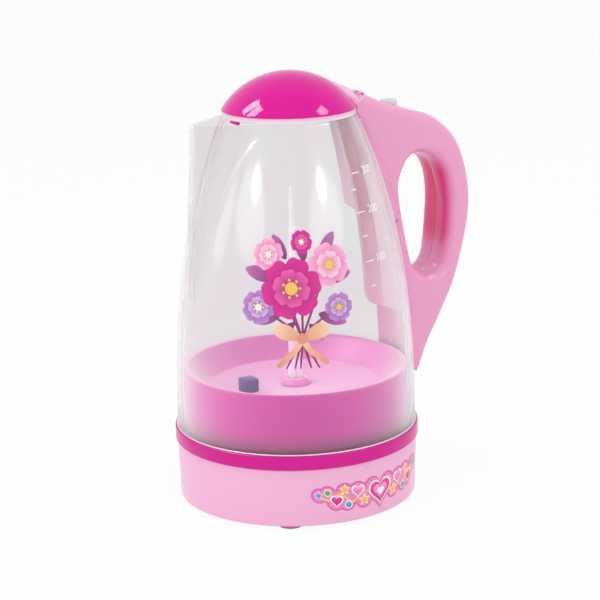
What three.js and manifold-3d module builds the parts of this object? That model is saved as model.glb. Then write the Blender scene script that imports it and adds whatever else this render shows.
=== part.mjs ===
import * as THREE from 'three';
import { mergeVertices } from 'three/addons/utils/BufferGeometryUtils.js';
import Module from 'manifold-3d';

const wasm = await Module();
wasm.setup();

// Toy electric kettle: millimetres, +Z up, jug axis on Z, handle towards +X, spout towards -X
const gap = 0.3; // clearance between pieces that seat on each other

// Base
const footHeight = 1.2;
const footRadius = 5.2;
const footCount = 3;
const footInset = 6.5; // foot centre in from the base's lower edge
const footTurn = -4.5; // degrees
const baseRadius = 53.6; // at the top of the base shell
const baseDraft = 0.8; // how much narrower the base is at its foot
const baseEdge = 0.5;
const baseHeight = 25.7;
const baseWall = 2.4;
const baseFlange = 11; // width of the inward flange that carries the jug
const plateThickness = 3.6;
const postRadius = 4;
const screwRadius = 1.2;
const screwHeadRadius = 2.6;
const screwHeadHeight = 1.3;
const screwGrip = 8; // how far a screw reaches into the piece it holds

// Battery box and what it holds
const cellRadius = 7.1;
const cellLength = 50;
const cellNubRadius = 2.7;
const cellNubLength = 1.3;
const contactThickness = 0.6;
const boxWall = 1.6;
const doorThickness = 2.2;
const doorEar = 11; // length and width of the door's screw ear
const speakerRadius = 12.5;
const speakerHeight = 5;

// Band and jug
const bandHeight = 6.2;
const bandFloor = 1.7;
const bandProud = 0.8;
const bandLip = 0.9;
const jugHeight = 142;
const rimRadius = 29.2;
const jugWall = 1.8;
const bellPower = 2.65; // how late the jug's bell shape draws in
const spoutReach = 48;
const spoutDepth = 82; // how far below the rim the spout's ridge dies out
const spoutHalfAngle = 40; // degrees either side of the ridge, at the rim
const ridgeBulge = 1.3;
const lipFlare = 1;
const lipDepth = 6;
const noseRound = 4; // degrees over which the ridge is rounded
const creaseSoftness = 0.8;

// Inside the jug
const drumClearance = 1.1; // between the drum and the jug's wall at its foot
const drumHeight = 30;
const drumWall = 1.8;
const dishDepth = 9.5;
const dishSlope = 9; // run of the dish from its rim to its flat floor
const guideRadius = 3.2;
const guideTipRadius = 0.8;
const guideHeight = 90; // above the dish floor
const collarRadius = 7;
const collarHeight = 2.4;
const sensorSide = 8;
const sensorHeight = 7;
const sensorOffset = 24; // towards the spout
const lampRadius = 2.5;
const lampHeight = 5.6;
const boardThickness = 1.4;

// Lid and hinge
const lidOverhang = 0.3;
const lidRise = 16.2;
const lidWall = 1.8;
const linerThickness = 2.2;
const tabWidth = 7;
const tabDrop = 2.6;
const tabThickness = 1.6;
const hingeSetback = 2.1; // pin axis behind the lid's edge
const hingeRise = 3.1; // pin axis above the dome's lower edge
const knuckleRadius = 2.4;
const knuckleHalf = 6;
const pinRadius = 1.1;
const fairingLength = 13.6;
const fairingSlope = 0.43;
const fairingHalf = 12;

// Handle
const handleWidth = 24;
const handleWall = 2;
const handleEdge = 4; // rounding of the loop's edges
const handleReach = 88; // outermost point of the grip from the jug's axis
const gripThickness = 12.2;
const gripDrop = 47.5; // middle of the grip below the rim
const holeHeight = 55; // finger gap
const holeDrop = 23.2; // top of the finger gap below the rim
const legTop = 5.9; // handle leg beside the finger gap, from the jug's wall
const legLow = 4.4;
const tailDrop = 123; // lowest end of the handle below the rim
const flangeThickness = 1.6;
const flangeHalfAngle = 22;
const flangeWide = 34; // half angle of its upper part
const flangeDrop = 95.5; // lower end of the back flange below the rim
const flangeStep = 49.5; // lower end of its wide part below the rim
const buttonSetback = 21.8; // button axis behind the lid's edge
const buttonRadius = 3.9;
const buttonTop = 1.4; // above the rim
const buttonFlange = 1.3;
const buttonTravel = 1.5;
const buttonDepth = 8.2; // from its top to the underside of its flange
const stemLength = 2;
const switchSide = 6;
const switchHeight = 2.2;

// Places that follow from the sizes above
const baseBottom = footHeight + gap;
const baseTop = baseBottom + baseHeight;
const baseInner = baseRadius - baseDraft - baseWall;
const flangeInner = baseInner - baseFlange;
const plateTop = baseBottom + plateThickness;
const bandBottom = baseTop + gap;
const bandRadius = baseRadius + bandProud;
const jugFootRadius = bandRadius - bandLip - gap;
const jugBottom = bandBottom + bandFloor + gap;
const rimZ = jugBottom + jugHeight;
const drumRadius = jugFootRadius - jugWall - drumClearance;
const drumTop = jugBottom + drumHeight;
const dishFloor = drumTop - dishDepth;
const lidRadius = rimRadius + lidOverhang;
const linerZ = rimZ + gap;
const domeZ = linerZ + linerThickness + gap;
const domeTop = domeZ + lidRise;
const domeCurve = (lidRadius ** 2 + lidRise ** 2) / (2 * lidRise);
const hingeX = lidRadius + hingeSetback;
const hingeZ = domeZ + hingeRise;
const buttonX = lidRadius + buttonSetback;
const buttonZ = rimZ + buttonTop;
const gripZ = rimZ - gripDrop;
const gripInner = handleReach - gripThickness;
const holeTop = rimZ - holeDrop;
const holeBottom = holeTop - holeHeight;
const tailZ = rimZ - tailDrop;
const flangeBottom = rimZ - flangeDrop;
const flangeTop = linerZ - 4 * gap - flangeThickness;
const flangeRoom = flangeThickness + 2 * gap;

function plastic(color, roughness = 0.3, extra = {}) {
  return new THREE.MeshStandardMaterial({ color, roughness, metalness: 0, ...extra });
}

const palePink = plastic(0xf2b6d8);
const handlePink = plastic(0xeba3c9);
const magenta = plastic(0xce2b89, 0.25);
const lidMagenta = plastic(0xe5309a, 0.2);
const drumPink = plastic(0xe59ec8, 0.4);
const clear = plastic(0xdddae0, 0.1, { transparent: true, opacity: 0.35 });
const linerPink = plastic(0xead0de, 0.3);
const buttonGrey = plastic(0xdccad4, 0.35);
const darkBlock = plastic(0x5a5570, 0.4);
const rubber = plastic(0xc1758f, 0.8);
const board = plastic(0x2f6b3c, 0.6);
const steel = new THREE.MeshStandardMaterial({ color: 0xb9bbc0, roughness: 0.35, metalness: 1 });
const cellSkin = plastic(0x3a3a40, 0.4);

// Merges a geometry's corners, drops empty triangles and turns its faces outwards
function closedArrays(geometry) {
  const bare = new THREE.BufferGeometry();
  bare.setAttribute('position', geometry.attributes.position.clone());
  if (geometry.index) {
    bare.setIndex(geometry.index.clone());
  }
  const merged = mergeVertices(bare, 1e-4);
  const place = merged.attributes.position;
  const index = merged.index.array;
  const triangles = [];
  let volume = 0;
  const corner = [new THREE.Vector3(), new THREE.Vector3(), new THREE.Vector3()];
  for (let i = 0; i < index.length; i += 3) {
    const [a, b, c] = [index[i], index[i + 1], index[i + 2]];
    if (a === b || b === c || c === a) {
      continue;
    }
    triangles.push([a, b, c]);
    corner[0].fromBufferAttribute(place, a);
    corner[1].fromBufferAttribute(place, b);
    corner[2].fromBufferAttribute(place, c);
    volume += corner[0].dot(corner[1].clone().cross(corner[2]));
  }
  const turned = volume < 0 ? triangles.map(([a, b, c]) => [a, c, b]) : triangles;
  return { points: new Float32Array(place.array), triangles: new Uint32Array(turned.flat()) };
}

function solid(geometry) {
  const { points, triangles } = closedArrays(geometry);
  return new wasm.Manifold(new wasm.Mesh({ numProp: 3, vertProperties: points, triVerts: triangles }));
}

function geometryOf(body) {
  const { numProp, vertProperties, triVerts } = body.getMesh();
  const geometry = new THREE.BufferGeometry();
  const points = new Float32Array((vertProperties.length / numProp) * 3);
  for (let i = 0; i < points.length / 3; i += 1) {
    points.set(vertProperties.subarray(i * numProp, i * numProp + 3), i * 3);
  }
  geometry.setAttribute('position', new THREE.BufferAttribute(points, 3));
  geometry.setIndex(new THREE.BufferAttribute(new Uint32Array(triVerts), 1));
  geometry.computeVertexNormals();
  return geometry;
}

// Revolves a closed outline of [radius, height] pairs about Z
function revolve(outline, segments = 48) {
  const points = outline.map(([r, z]) => new THREE.Vector2(r, z));
  points.push(points[0].clone());
  return solid(new THREE.LatheGeometry(points, segments).rotateX(Math.PI / 2));
}

function drum(radius, low, high, x = 0, y = 0, segments = 24) {
  const geometry = new THREE.CylinderGeometry(radius, radius, high - low, segments);
  return solid(geometry.rotateX(Math.PI / 2).translate(x, y, (low + high) / 2));
}

function rod(radius, near, far, x, z, segments = 20) {
  const geometry = new THREE.CylinderGeometry(radius, radius, far - near, segments);
  return solid(geometry.translate(x, (near + far) / 2, z));
}

function block(x, y, z) {
  const geometry = new THREE.BoxGeometry(x[1] - x[0], y[1] - y[0], z[1] - z[0]);
  return solid(geometry.translate((x[0] + x[1]) / 2, (y[0] + y[1]) / 2, (z[0] + z[1]) / 2));
}

// Joins rings of equal length into one skin; closed rings run back to the first, open ones get end caps
function skin(rings, wrap, flatten) {
  const count = rings[0].length;
  const points = rings.flat();
  const index = [];
  const last = wrap ? rings.length : rings.length - 1;
  for (let i = 0; i < last; i += 1) {
    const low = i * count;
    const high = ((i + 1) % rings.length) * count;
    for (let j = 0; j < count; j += 1) {
      const next = (j + 1) % count;
      index.push(low + j, low + next, high + next, low + j, high + next, high + j);
    }
  }
  if (!wrap) {
    const cap = THREE.ShapeUtils.triangulateShape(rings[0].map(flatten), []);
    const top = (rings.length - 1) * count;
    const turn = THREE.ShapeUtils.isClockWise(rings[0].map(flatten)) ? 1 : -1;
    for (const [a, b, c] of cap) {
      const [p, q] = turn > 0 ? [b, c] : [c, b];
      index.push(a, p, q, top + a, top + q, top + p);
    }
  }
  const geometry = new THREE.BufferGeometry();
  geometry.setAttribute('position', new THREE.Float32BufferAttribute(points.flatMap((p) => p.toArray()), 3));
  geometry.setIndex(index);
  return solid(geometry);
}

const kettle = new THREE.Group();

function add(name, body, material, group = kettle) {
  const mesh = new THREE.Mesh(geometryOf(body), material);
  mesh.name = name;
  group.add(mesh);
}

function polar(radius, degrees) {
  const angle = THREE.MathUtils.degToRad(degrees);
  return [radius * Math.cos(angle), radius * Math.sin(angle)];
}

// A screw standing on its head at the origin of its axis, tip towards +Z
function screw(low, length) {
  return drum(screwHeadRadius, low, low + screwHeadHeight, 0, 0, 20)
    .add(drum(screwRadius, low + screwHeadHeight / 2, low + screwHeadHeight + length, 0, 0, 12));
}

// Jug: the bell-shaped body, and the wedge of the spout laid over it in polar form
function bodyRadius(z) {
  const t = Math.min(Math.max((z - jugBottom) / jugHeight, 0), 1);
  return jugFootRadius - (jugFootRadius - rimRadius) * t ** bellPower;
}

function spoutRadius(z, degrees) {
  const body = bodyRadius(z);
  const down = (rimZ - z) / spoutDepth;
  if (down >= 1) {
    return body;
  }
  const up = 1 - down;
  const root = bodyRadius(rimZ - spoutDepth);
  const lip = lipFlare * Math.max(0, 1 - (rimZ - z) / lipDepth) ** 2;
  const bulge = ridgeBulge * 6.75 * down ** 2 * up;
  const ridge = Math.max(root + (spoutReach - root) * up ** 1.5 + bulge + lip, body);
  const spread = THREE.MathUtils.degToRad(spoutHalfAngle) * (up + up ** 6) / 2;
  const nose = THREE.MathUtils.degToRad(noseRound) * up;
  const alpha = THREE.MathUtils.degToRad(Math.abs(degrees));
  const rounded = (Math.hypot(alpha, nose) - nose) * spread / (Math.hypot(spread, nose) - nose);
  const side = body * Math.sin(spread);
  const run = ridge - body * Math.cos(spread);
  const outside = rounded > spread;
  const turn = outside ? Math.max(0, 2 * spread - rounded) : rounded;
  const line = ridge * side / (side * Math.cos(turn) + run * Math.sin(turn));
  const flank = outside ? body - Math.abs(line - body) : line;
  const blend = Math.max(0, creaseSoftness * up - Math.abs(body - flank));
  return Math.max(body, flank) + blend ** 2 / (4 * creaseSoftness * up);
}

function jugRing(z, inset) {
  const half = 18;
  const ring = [];
  for (let i = -half + 1; i <= half; i += 1) {
    const degrees = Math.sign(i) * 180 * (Math.abs(i) / half) ** 1.4;
    const [x, y] = polar(spoutRadius(z, degrees) - inset, 180 + degrees);
    ring.push(new THREE.Vector3(x, y, z));
  }
  return ring;
}

function jugShell() {
  const levels = 12;
  const heights = Array.from({ length: levels + 1 }, (_, i) => jugBottom + (jugHeight * i) / levels);
  const outside = heights.map((z) => jugRing(z, 0));
  const inside = heights.map((z) => jugRing(z, jugWall)).reverse();
  return skin([...outside, ...inside], true);
}

// The space that the jug, the back flange and the turning lid take out of the handle
function jugRoom(extra) {
  const steps = 14;
  const outline = [[0, tailZ - jugHeight / 10]];
  for (let i = 0; i <= steps; i += 1) {
    const z = tailZ - jugHeight / 20 + ((flangeBottom - gap - tailZ + jugHeight / 20) * i) / steps;
    outline.push([bodyRadius(z) + gap + extra, z]);
  }
  for (let i = 0; i <= steps; i += 1) {
    const z = flangeBottom - gap + ((flangeTop + 2 * gap - flangeBottom) * i) / steps;
    outline.push([bodyRadius(z) + flangeRoom + extra, z]);
  }
  outline.splice(1, 0, [outline[1][0], tailZ - jugHeight / 10]);
  const lidRoom = lidRadius + hingeSetback - gap;
  outline.push([lidRoom + extra, flangeTop + gap], [lidRoom + extra, domeTop], [0, domeTop]);
  return revolve(outline, 52);
}

// Base: drafted shell with an inward flange and screw posts, closed below by the plate
const postRing = baseInner - postRadius - gap;
const postAngles = [60, 180, 300];

function baseShell() {
  const foot = baseRadius - baseDraft;
  let body = revolve([
    [foot - baseEdge, baseBottom], [foot, baseBottom + baseEdge], [baseRadius, baseTop],
    [flangeInner, baseTop], [flangeInner, baseTop - baseWall],
    [baseInner, baseTop - baseWall], [baseInner, baseBottom],
  ], 52);
  for (const angle of postAngles) {
    const [x, y] = polar(postRing, angle);
    body = body.add(drum(postRadius, plateTop + gap, baseTop - baseWall / 2, x, y));
    body = body.subtract(drum(screwRadius + gap, plateTop, plateTop + screwGrip + 1, x, y, 12));
  }
  return body;
}

const cellPitch = 2 * cellRadius + 2 * gap;
const boxHalfLength = cellLength / 2 + contactThickness + 2 * gap;
const boxHalfWidth = cellPitch + gap;
const cellZ = baseBottom + doorThickness + gap + cellRadius;
const boxRoof = cellZ + cellRadius + gap;
const earX = boxHalfLength + boxWall + doorEar / 2;
const speakerY = boxHalfWidth + boxWall + speakerRadius + 2;
const headRoof = baseBottom + screwHeadHeight + gap;

function doorOutline(grow, low, high) {
  const main = block(
    [-boxHalfLength - grow, boxHalfLength + grow], [-boxHalfWidth - grow, boxHalfWidth + grow], [low, high]);
  const ear = block([boxHalfLength - boxWall, earX + doorEar / 2 + grow],
    [-doorEar / 2 - grow, doorEar / 2 + grow], [low, high]);
  return main.add(ear);
}

function basePlate() {
  let body = drum(baseInner - gap, baseBottom, plateTop, 0, 0, 52);
  body = body.add(block(
    [-boxHalfLength - boxWall, boxHalfLength + boxWall], [-boxHalfWidth - boxWall, boxHalfWidth + boxWall],
    [plateTop - 1, boxRoof + boxWall]));
  body = body.add(drum(postRadius, plateTop - 1, plateTop + screwGrip, earX, 0));
  body = body.subtract(block(
    [-boxHalfLength, boxHalfLength], [-boxHalfWidth, boxHalfWidth], [baseBottom - 1, boxRoof]));
  body = body.subtract(doorOutline(gap, baseBottom - 1, baseBottom + doorThickness + gap));
  body = body.subtract(drum(screwRadius + gap, baseBottom, plateTop + screwGrip + 1, earX, 0, 12));
  for (const angle of postAngles) {
    const [x, y] = polar(postRing, angle);
    body = body.subtract(drum(screwHeadRadius + gap, baseBottom - 1, headRoof, x, y, 20));
    body = body.subtract(drum(screwRadius + gap, baseBottom, plateTop + 1, x, y, 12));
  }
  for (const [dx, dy] of [[0, 0], [5, 0], [-5, 0], [0, 5], [0, -5]]) {
    body = body.subtract(drum(1.2, baseBottom - 1, plateTop + 1, dx, speakerY + dy, 10));
  }
  return body;
}

function batteryDoor() {
  return doorOutline(0, baseBottom, baseBottom + doorThickness)
    .subtract(drum(screwRadius + gap, baseBottom - 1, plateTop, earX, 0, 12))
    .subtract(drum(screwHeadRadius + gap, baseBottom - 1, headRoof, earX, 0, 20));
}

function cell(y, turn) {
  const skirt = cellLength - cellNubLength;
  const body = revolve([
    [0, 0], [cellRadius - 0.6, 0], [cellRadius, 0.6], [cellRadius, skirt - 0.6], [cellRadius - 0.6, skirt],
    [cellNubRadius, skirt], [cellNubRadius, cellLength], [0, cellLength],
  ], 20);
  return body.translate([0, 0, -cellLength / 2]).rotate([0, turn * 90, 0]).translate([0, y, cellZ]);
}

function contact(side, y, half) {
  const x = side * (cellLength / 2 + gap);
  const far = x + side * contactThickness;
  return block([Math.min(x, far), Math.max(x, far)], [y - half, y + half],
    [cellZ - cellRadius + gap, cellZ + cellRadius - gap]);
}

add('base_shell', baseShell(), palePink);
add('base_plate', basePlate(), palePink);
add('battery_door', batteryDoor(), palePink);
add('battery_door_screw', screw(baseBottom, plateThickness + screwGrip - screwHeadHeight - 1)
  .translate([earX, 0, 0]), steel);
add('battery_cell_1', cell(cellPitch / 2, 1), cellSkin);
add('battery_cell_2', cell(-cellPitch / 2, -1), cellSkin);
add('contact_bridge', contact(-1, 0, cellPitch / 2 + cellRadius * 0.7), steel);
add('contact_positive', contact(1, cellPitch / 2, cellRadius * 0.7), steel);
add('contact_negative', contact(1, -cellPitch / 2, cellRadius * 0.7), steel);
add('speaker', revolve([
  [0, 0], [speakerRadius, 0], [speakerRadius, speakerHeight * 0.4],
  [speakerRadius * 0.55, speakerHeight * 0.7], [speakerRadius * 0.55, speakerHeight], [0, speakerHeight],
], 28).translate([0, speakerY, plateTop + gap]), darkBlock);
for (let i = 0; i < footCount; i += 1) {
  const [x, y] = polar(baseRadius - baseDraft - footInset, footTurn + (i * 360) / footCount);
  add(`foot_${i + 1}`, drum(footRadius, 0, footHeight, x, y), rubber);
}
postAngles.forEach((angle, i) => {
  const [x, y] = polar(postRing, angle);
  const length = plateThickness + screwGrip - screwHeadHeight;
  add(`base_screw_${i + 1}`, screw(baseBottom, length).translate([x, y, 0]), steel);
});

// Band that joins the jug to the base
add('band_ring', revolve([
  [flangeInner, bandBottom], [bandRadius - 0.5, bandBottom], [bandRadius, bandBottom + 0.7],
  [bandRadius, bandBottom + bandHeight - 1], [bandRadius - bandLip * 0.3, bandBottom + bandHeight - 0.25],
  [bandRadius - bandLip * 0.7, bandBottom + bandHeight],
  [bandRadius - bandLip, bandBottom + bandHeight - 0.4],
  [bandRadius - bandLip, bandBottom + bandFloor], [flangeInner, bandBottom + bandFloor],
], 52), magenta);
add('jug_shell', jugShell(), clear);

// Drum with its dished top, the light guide in its middle and the lamp below
const guideBore = guideRadius + gap;
const dishRim = drumRadius - 2.6;
const dishFlat = dishRim - dishSlope;
add('inner_drum', revolve([
  [drumRadius - drumWall, jugBottom], [drumRadius, jugBottom], [drumRadius, drumTop - 2],
  [drumRadius - 0.6, drumTop - 0.6], [drumRadius - 1.6, drumTop], [dishRim, drumTop - 0.4],
  [dishRim - dishSlope * 0.3, drumTop - dishDepth * 0.55], [dishFlat, dishFloor], [guideBore, dishFloor],
  [guideBore, dishFloor - drumWall], [dishFlat - drumWall / 2, dishFloor - drumWall],
  [dishRim - dishSlope * 0.3 - drumWall, drumTop - dishDepth * 0.55 - drumWall],
  [drumRadius - drumWall, drumTop - dishDepth * 0.4 - drumWall],
], 40), drumPink);
const boardTop = baseTop;
const lampTop = boardTop + gap + lampHeight;
const guideBottom = lampTop + gap;
const guideTop = dishFloor + guideHeight;
add('light_guide', revolve([
  [0, guideBottom], [guideRadius, guideBottom], [guideRadius, dishFloor + collarHeight + gap],
  [guideTipRadius, guideTop - guideTipRadius], [guideTipRadius / 2, guideTop], [0, guideTop],
], 24), clear);
add('guide_collar', revolve([
  [guideBore, dishFloor + gap], [collarRadius, dishFloor + gap],
  [collarRadius * 0.7, dishFloor + gap + collarHeight], [guideBore, dishFloor + gap + collarHeight],
], 32), magenta);
add('sensor_block', block([-sensorOffset - sensorSide / 2, -sensorOffset + sensorSide / 2],
  [-sensorSide / 2, sensorSide / 2], [dishFloor + gap, dishFloor + gap + sensorHeight]), darkBlock);
add('circuit_board', drum(flangeInner - gap, boardTop - boardThickness, boardTop, 0, 0, 48), board);
add('lamp', revolve([
  [0, boardTop + gap], [lampRadius, boardTop + gap], [lampRadius, lampTop - lampRadius * 0.6],
  [lampRadius * 0.6, lampTop - lampRadius * 0.12], [0, lampTop],
], 16), clear);

// Lid: dome, liner, front tab and the fairing that carries it to the hinge
function domeArc(curve, radius, low, steps) {
  const centre = domeTop - domeCurve;
  const from = Math.asin(Math.min(1, radius / curve));
  return Array.from({ length: steps + 1 }, (_, i) => {
    const angle = from * (1 - i / steps);
    return [curve * Math.sin(angle), Math.max(low, centre + curve * Math.cos(angle))];
  });
}

function lidDome() {
  const outer = domeArc(domeCurve, lidRadius, domeZ, 7);
  const inner = domeArc(domeCurve - lidWall, lidRadius - lidWall, domeZ, 5).reverse();
  return revolve([...outer, ...inner], 44);
}

function lidFairing() {
  const start = hingeX - fairingLength;
  const ridgeEnd = hingeZ + knuckleRadius;
  const rings = [];
  for (let i = 0; i <= 8; i += 1) {
    const x = start + (fairingLength * i) / 8;
    const ring = [new THREE.Vector3(x, -fairingHalf, domeZ), new THREE.Vector3(x, fairingHalf, domeZ)];
    for (let j = 8; j >= -8; j -= 1) {
      const across = j / 8;
      const top = ridgeEnd + (hingeX - x) * fairingSlope - (hingeRise + knuckleRadius - gap) * across ** 2;
      ring.push(new THREE.Vector3(x, across * fairingHalf, Math.max(top, domeZ + gap)));
    }
    rings.push(ring);
  }
  const cap = revolve([
    [lidRadius + gap, domeZ - gap], ...domeArc(domeCurve + gap, lidRadius + gap, domeZ, 7), [0, domeZ - gap],
  ], 44);
  const rear = hingeX - knuckleRadius - 2 * gap;
  const arch = skin(rings, false, (p) => new THREE.Vector2(p.y, p.z)).subtract(cap);
  const wide = [-2 * fairingHalf, 2 * fairingHalf];
  const web = arch.intersect(block(
    [rear - gap, hingeX], [-knuckleHalf, knuckleHalf], [hingeZ - knuckleRadius / 2, hingeZ + knuckleRadius]));
  const body = arch.subtract(block([rear, hingeX + fairingLength], wide, [domeZ - 1, domeTop]))
    .add(web)
    .add(rod(knuckleRadius, -knuckleHalf, knuckleHalf, hingeX, hingeZ));
  return body.subtract(rod(pinRadius + gap, -fairingHalf, fairingHalf, hingeX, hingeZ, 16));
}

add('lid_dome', lidDome(), lidMagenta);
add('lid_liner', revolve([
  [0, linerZ + linerThickness / 2], [lidRadius * 0.7, linerZ + linerThickness / 2],
  [lidRadius * 0.76, linerZ], [lidRadius - gap, linerZ],
  [lidRadius - gap, linerZ + linerThickness], [0, linerZ + linerThickness],
], 44), linerPink);
add('lid_tab', block([-lidRadius + 2, -lidRadius + 2 + tabThickness], [-tabWidth / 2, tabWidth / 2],
  [linerZ - gap - tabDrop, linerZ - gap]), lidMagenta);
add('lid_fairing', lidFairing(), palePink);
add('hinge_pin', rod(pinRadius, -handleWidth / 2 + 1, handleWidth / 2 - 1, hingeX, hingeZ, 14), steel);

// Handle: one loop outline, split on the middle plane into two hollow half shells
function handleCurves() {
  const outer = new THREE.SplineCurve([
    [hingeX, hingeZ + knuckleRadius], [buttonX - 6, rimZ + 1.2], [buttonX + 7.2, rimZ - 3.1],
    [handleReach - 16.5, rimZ - 8.3], [handleReach - 4.6, rimZ - 21.8], [handleReach, gripZ],
    [handleReach - 6.9, gripZ - 31.8], [handleReach - 14.8, gripZ - 49.6], [bodyRadius(tailZ) + 4.4, tailZ],
  ].map(([x, z]) => new THREE.Vector2(x, z)));
  const upper = holeTop - 15.5;
  const lower = holeBottom + 15.5;
  const middle = (gripInner + bodyRadius(lower) + legLow) / 2;
  const hole = new THREE.CatmullRomCurve3([
    [bodyRadius(upper) + legTop, upper], [bodyRadius(lower) + legLow, lower],
    [bodyRadius(lower) + legLow + 4.6, holeBottom + 4.2], [middle + 1.5, holeBottom],
    [gripInner - 3, holeBottom + 6.6], [gripInner, gripZ], [gripInner - 4, holeTop - 7],
    [middle - 2, holeTop], [bodyRadius(upper) + legTop + 5, holeTop - 2.8],
  ].map(([x, z]) => new THREE.Vector3(x, z, 0)), true);
  return { outer, hole };
}

function offsetPoints(curve, count, inset) {
  return Array.from({ length: count + 1 }, (_, i) => {
    const point = curve.getPointAt(i / count);
    const along = curve.getTangentAt(i / count);
    return new THREE.Vector2(point.x - along.y * -inset, point.y - along.x * inset);
  });
}

function handleLoop(inset, width, edge) {
  const { outer, hole } = handleCurves();
  const outline = offsetPoints(outer, 26, inset);
  const shape = new THREE.Shape([
    ...outline,
    new THREE.Vector2(bodyRadius(tailZ) - 8, tailZ),
    new THREE.Vector2(rimRadius - 8, rimZ),
    new THREE.Vector2(rimRadius - 8, hingeZ + knuckleRadius - inset),
  ]);
  shape.holes.push(new THREE.Path(offsetPoints(hole, 24, inset).slice(0, -1)));
  const geometry = new THREE.ExtrudeGeometry(shape, {
    depth: width - 2 * edge, steps: 1, bevelEnabled: edge > 0, bevelThickness: edge, bevelSize: edge,
    bevelOffset: -edge, bevelSegments: 2,
  });
  return solid(geometry.rotateX(Math.PI / 2).translate(0, width / 2 - edge, 0)).subtract(jugRoom(inset));
}

const handleScrews = [
  [lidRadius + 8.2, rimZ - 2],
  [bodyRadius(holeTop - 4) + 6.6, holeTop - 4],
  [bodyRadius(tailZ + 12) + 8, tailZ + 12],
];

function handlePocket() {
  const front = buttonX - 10;
  let pocket = handleLoop(handleWall, handleWidth - 2 * handleWall, 0);
  pocket = pocket.intersect(
    block([front, handleReach * 2], [-handleWidth, handleWidth], [tailZ + 20, domeTop]));
  for (const [x, z] of handleScrews) {
    pocket = pocket.subtract(rod(screwHeadRadius + gap + 1, -handleWidth, handleWidth, x, z));
  }
  return pocket;
}

function handleShells() {
  const half = handleWidth / 2;
  let body = handleLoop(0, handleWidth, handleEdge);
  for (const side of [-1, 1]) {
    const ends = [side * (knuckleHalf + gap), side * (half - 0.5)].sort((a, b) => a - b);
    body = body.add(rod(knuckleRadius, ends[0], ends[1], hingeX, hingeZ));
  }
  body = body.subtract(rod(knuckleRadius + gap, -knuckleHalf - gap, knuckleHalf + gap, hingeX, hingeZ));
  body = body.subtract(rod(pinRadius + gap, -half + 0.5, half - 0.5, hingeX, hingeZ, 16));
  body = body.subtract(handlePocket());
  body = body.subtract(drum(buttonRadius + gap, buttonZ - buttonDepth, domeTop, buttonX, 0, 28));
  for (const [x, z] of handleScrews) {
    body = body.subtract(rod(screwHeadRadius + gap, half - screwHeadHeight - gap, half + 1, x, z));
    body = body.subtract(rod(screwRadius + gap, -screwGrip - gap, half, x, z, 12));
  }
  const room = [-handleReach, handleReach * 2];
  const tall = [tailZ - 20, domeTop + 20];
  return {
    near: body.intersect(block(room, [-handleWidth, -gap / 2], tall)),
    far: body.intersect(block(room, [gap / 2, handleWidth], tall)),
  };
}

function backFlange() {
  const across = 5;
  const step = rimZ - flangeStep;
  const quarters = [0, 0.25, 0.5, 0.75, 1];
  const levels = quarters.map((t) => [flangeBottom + (step - flangeBottom) * t, flangeHalfAngle]);
  levels.push(...quarters.map((t) => [step + gap + (flangeTop - step - gap) * t, flangeWide]));
  const rings = levels.map(([z, half]) => {
    const low = bodyRadius(z) + gap;
    const ring = [];
    for (let j = -across; j <= across; j += 1) {
      ring.push(new THREE.Vector3(...polar(low, (half * j) / across), z));
    }
    for (let j = across; j >= -across; j -= 1) {
      ring.push(new THREE.Vector3(...polar(low + flangeThickness, (half * j) / across), z));
    }
    return ring;
  });
  return skin(rings, false, (p) => new THREE.Vector2(p.x, p.y));
}

const shells = handleShells();
add('handle_near_shell', shells.near, handlePink);
add('handle_far_shell', shells.far, handlePink);
add('back_flange', backFlange(), handlePink);
handleScrews.forEach(([x, z], i) => {
  const length = handleWidth / 2 - screwHeadHeight - gap + screwGrip;
  const place = [x, handleWidth / 2 - gap / 2, z];
  add(`handle_screw_${i + 1}`, screw(0, length).rotate([90, 0, 0]).translate(place), steel);
});

// Button, its switch and the small board across the handle's hollow
const buttonFlangeLow = buttonZ - buttonDepth;
const switchTop = buttonFlangeLow - stemLength - buttonTravel - gap;
const switchBoardTop = switchTop - switchHeight - gap;
add('push_button', revolve([
  [0, buttonFlangeLow - stemLength], [buttonRadius * 0.4, buttonFlangeLow - stemLength],
  [buttonRadius * 0.4, buttonFlangeLow], [buttonRadius + 1.2, buttonFlangeLow],
  [buttonRadius + 1.2, buttonFlangeLow + buttonFlange], [buttonRadius, buttonFlangeLow + buttonFlange],
  [buttonRadius, buttonZ - 0.7], [buttonRadius - 0.7, buttonZ], [0, buttonZ],
], 24).translate([buttonX, 0, 0]), buttonGrey);
add('switch_body', block([buttonX - switchSide / 2, buttonX + switchSide / 2],
  [-switchSide / 2, switchSide / 2], [switchTop - switchHeight, switchTop]), darkBlock);
add('switch_board', block([buttonX - switchSide, buttonX + switchSide],
  [-handleWidth / 2 + handleWall + gap, handleWidth / 2 - handleWall - gap],
  [switchBoardTop - boardThickness, switchBoardTop]), board);

// The bounding box is centred on the origin, with the feet on the floor
kettle.position.x = (bandRadius - handleReach) / 2;

export default kettle;
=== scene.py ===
import math

import bmesh
import bpy
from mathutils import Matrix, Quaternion, Vector


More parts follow.
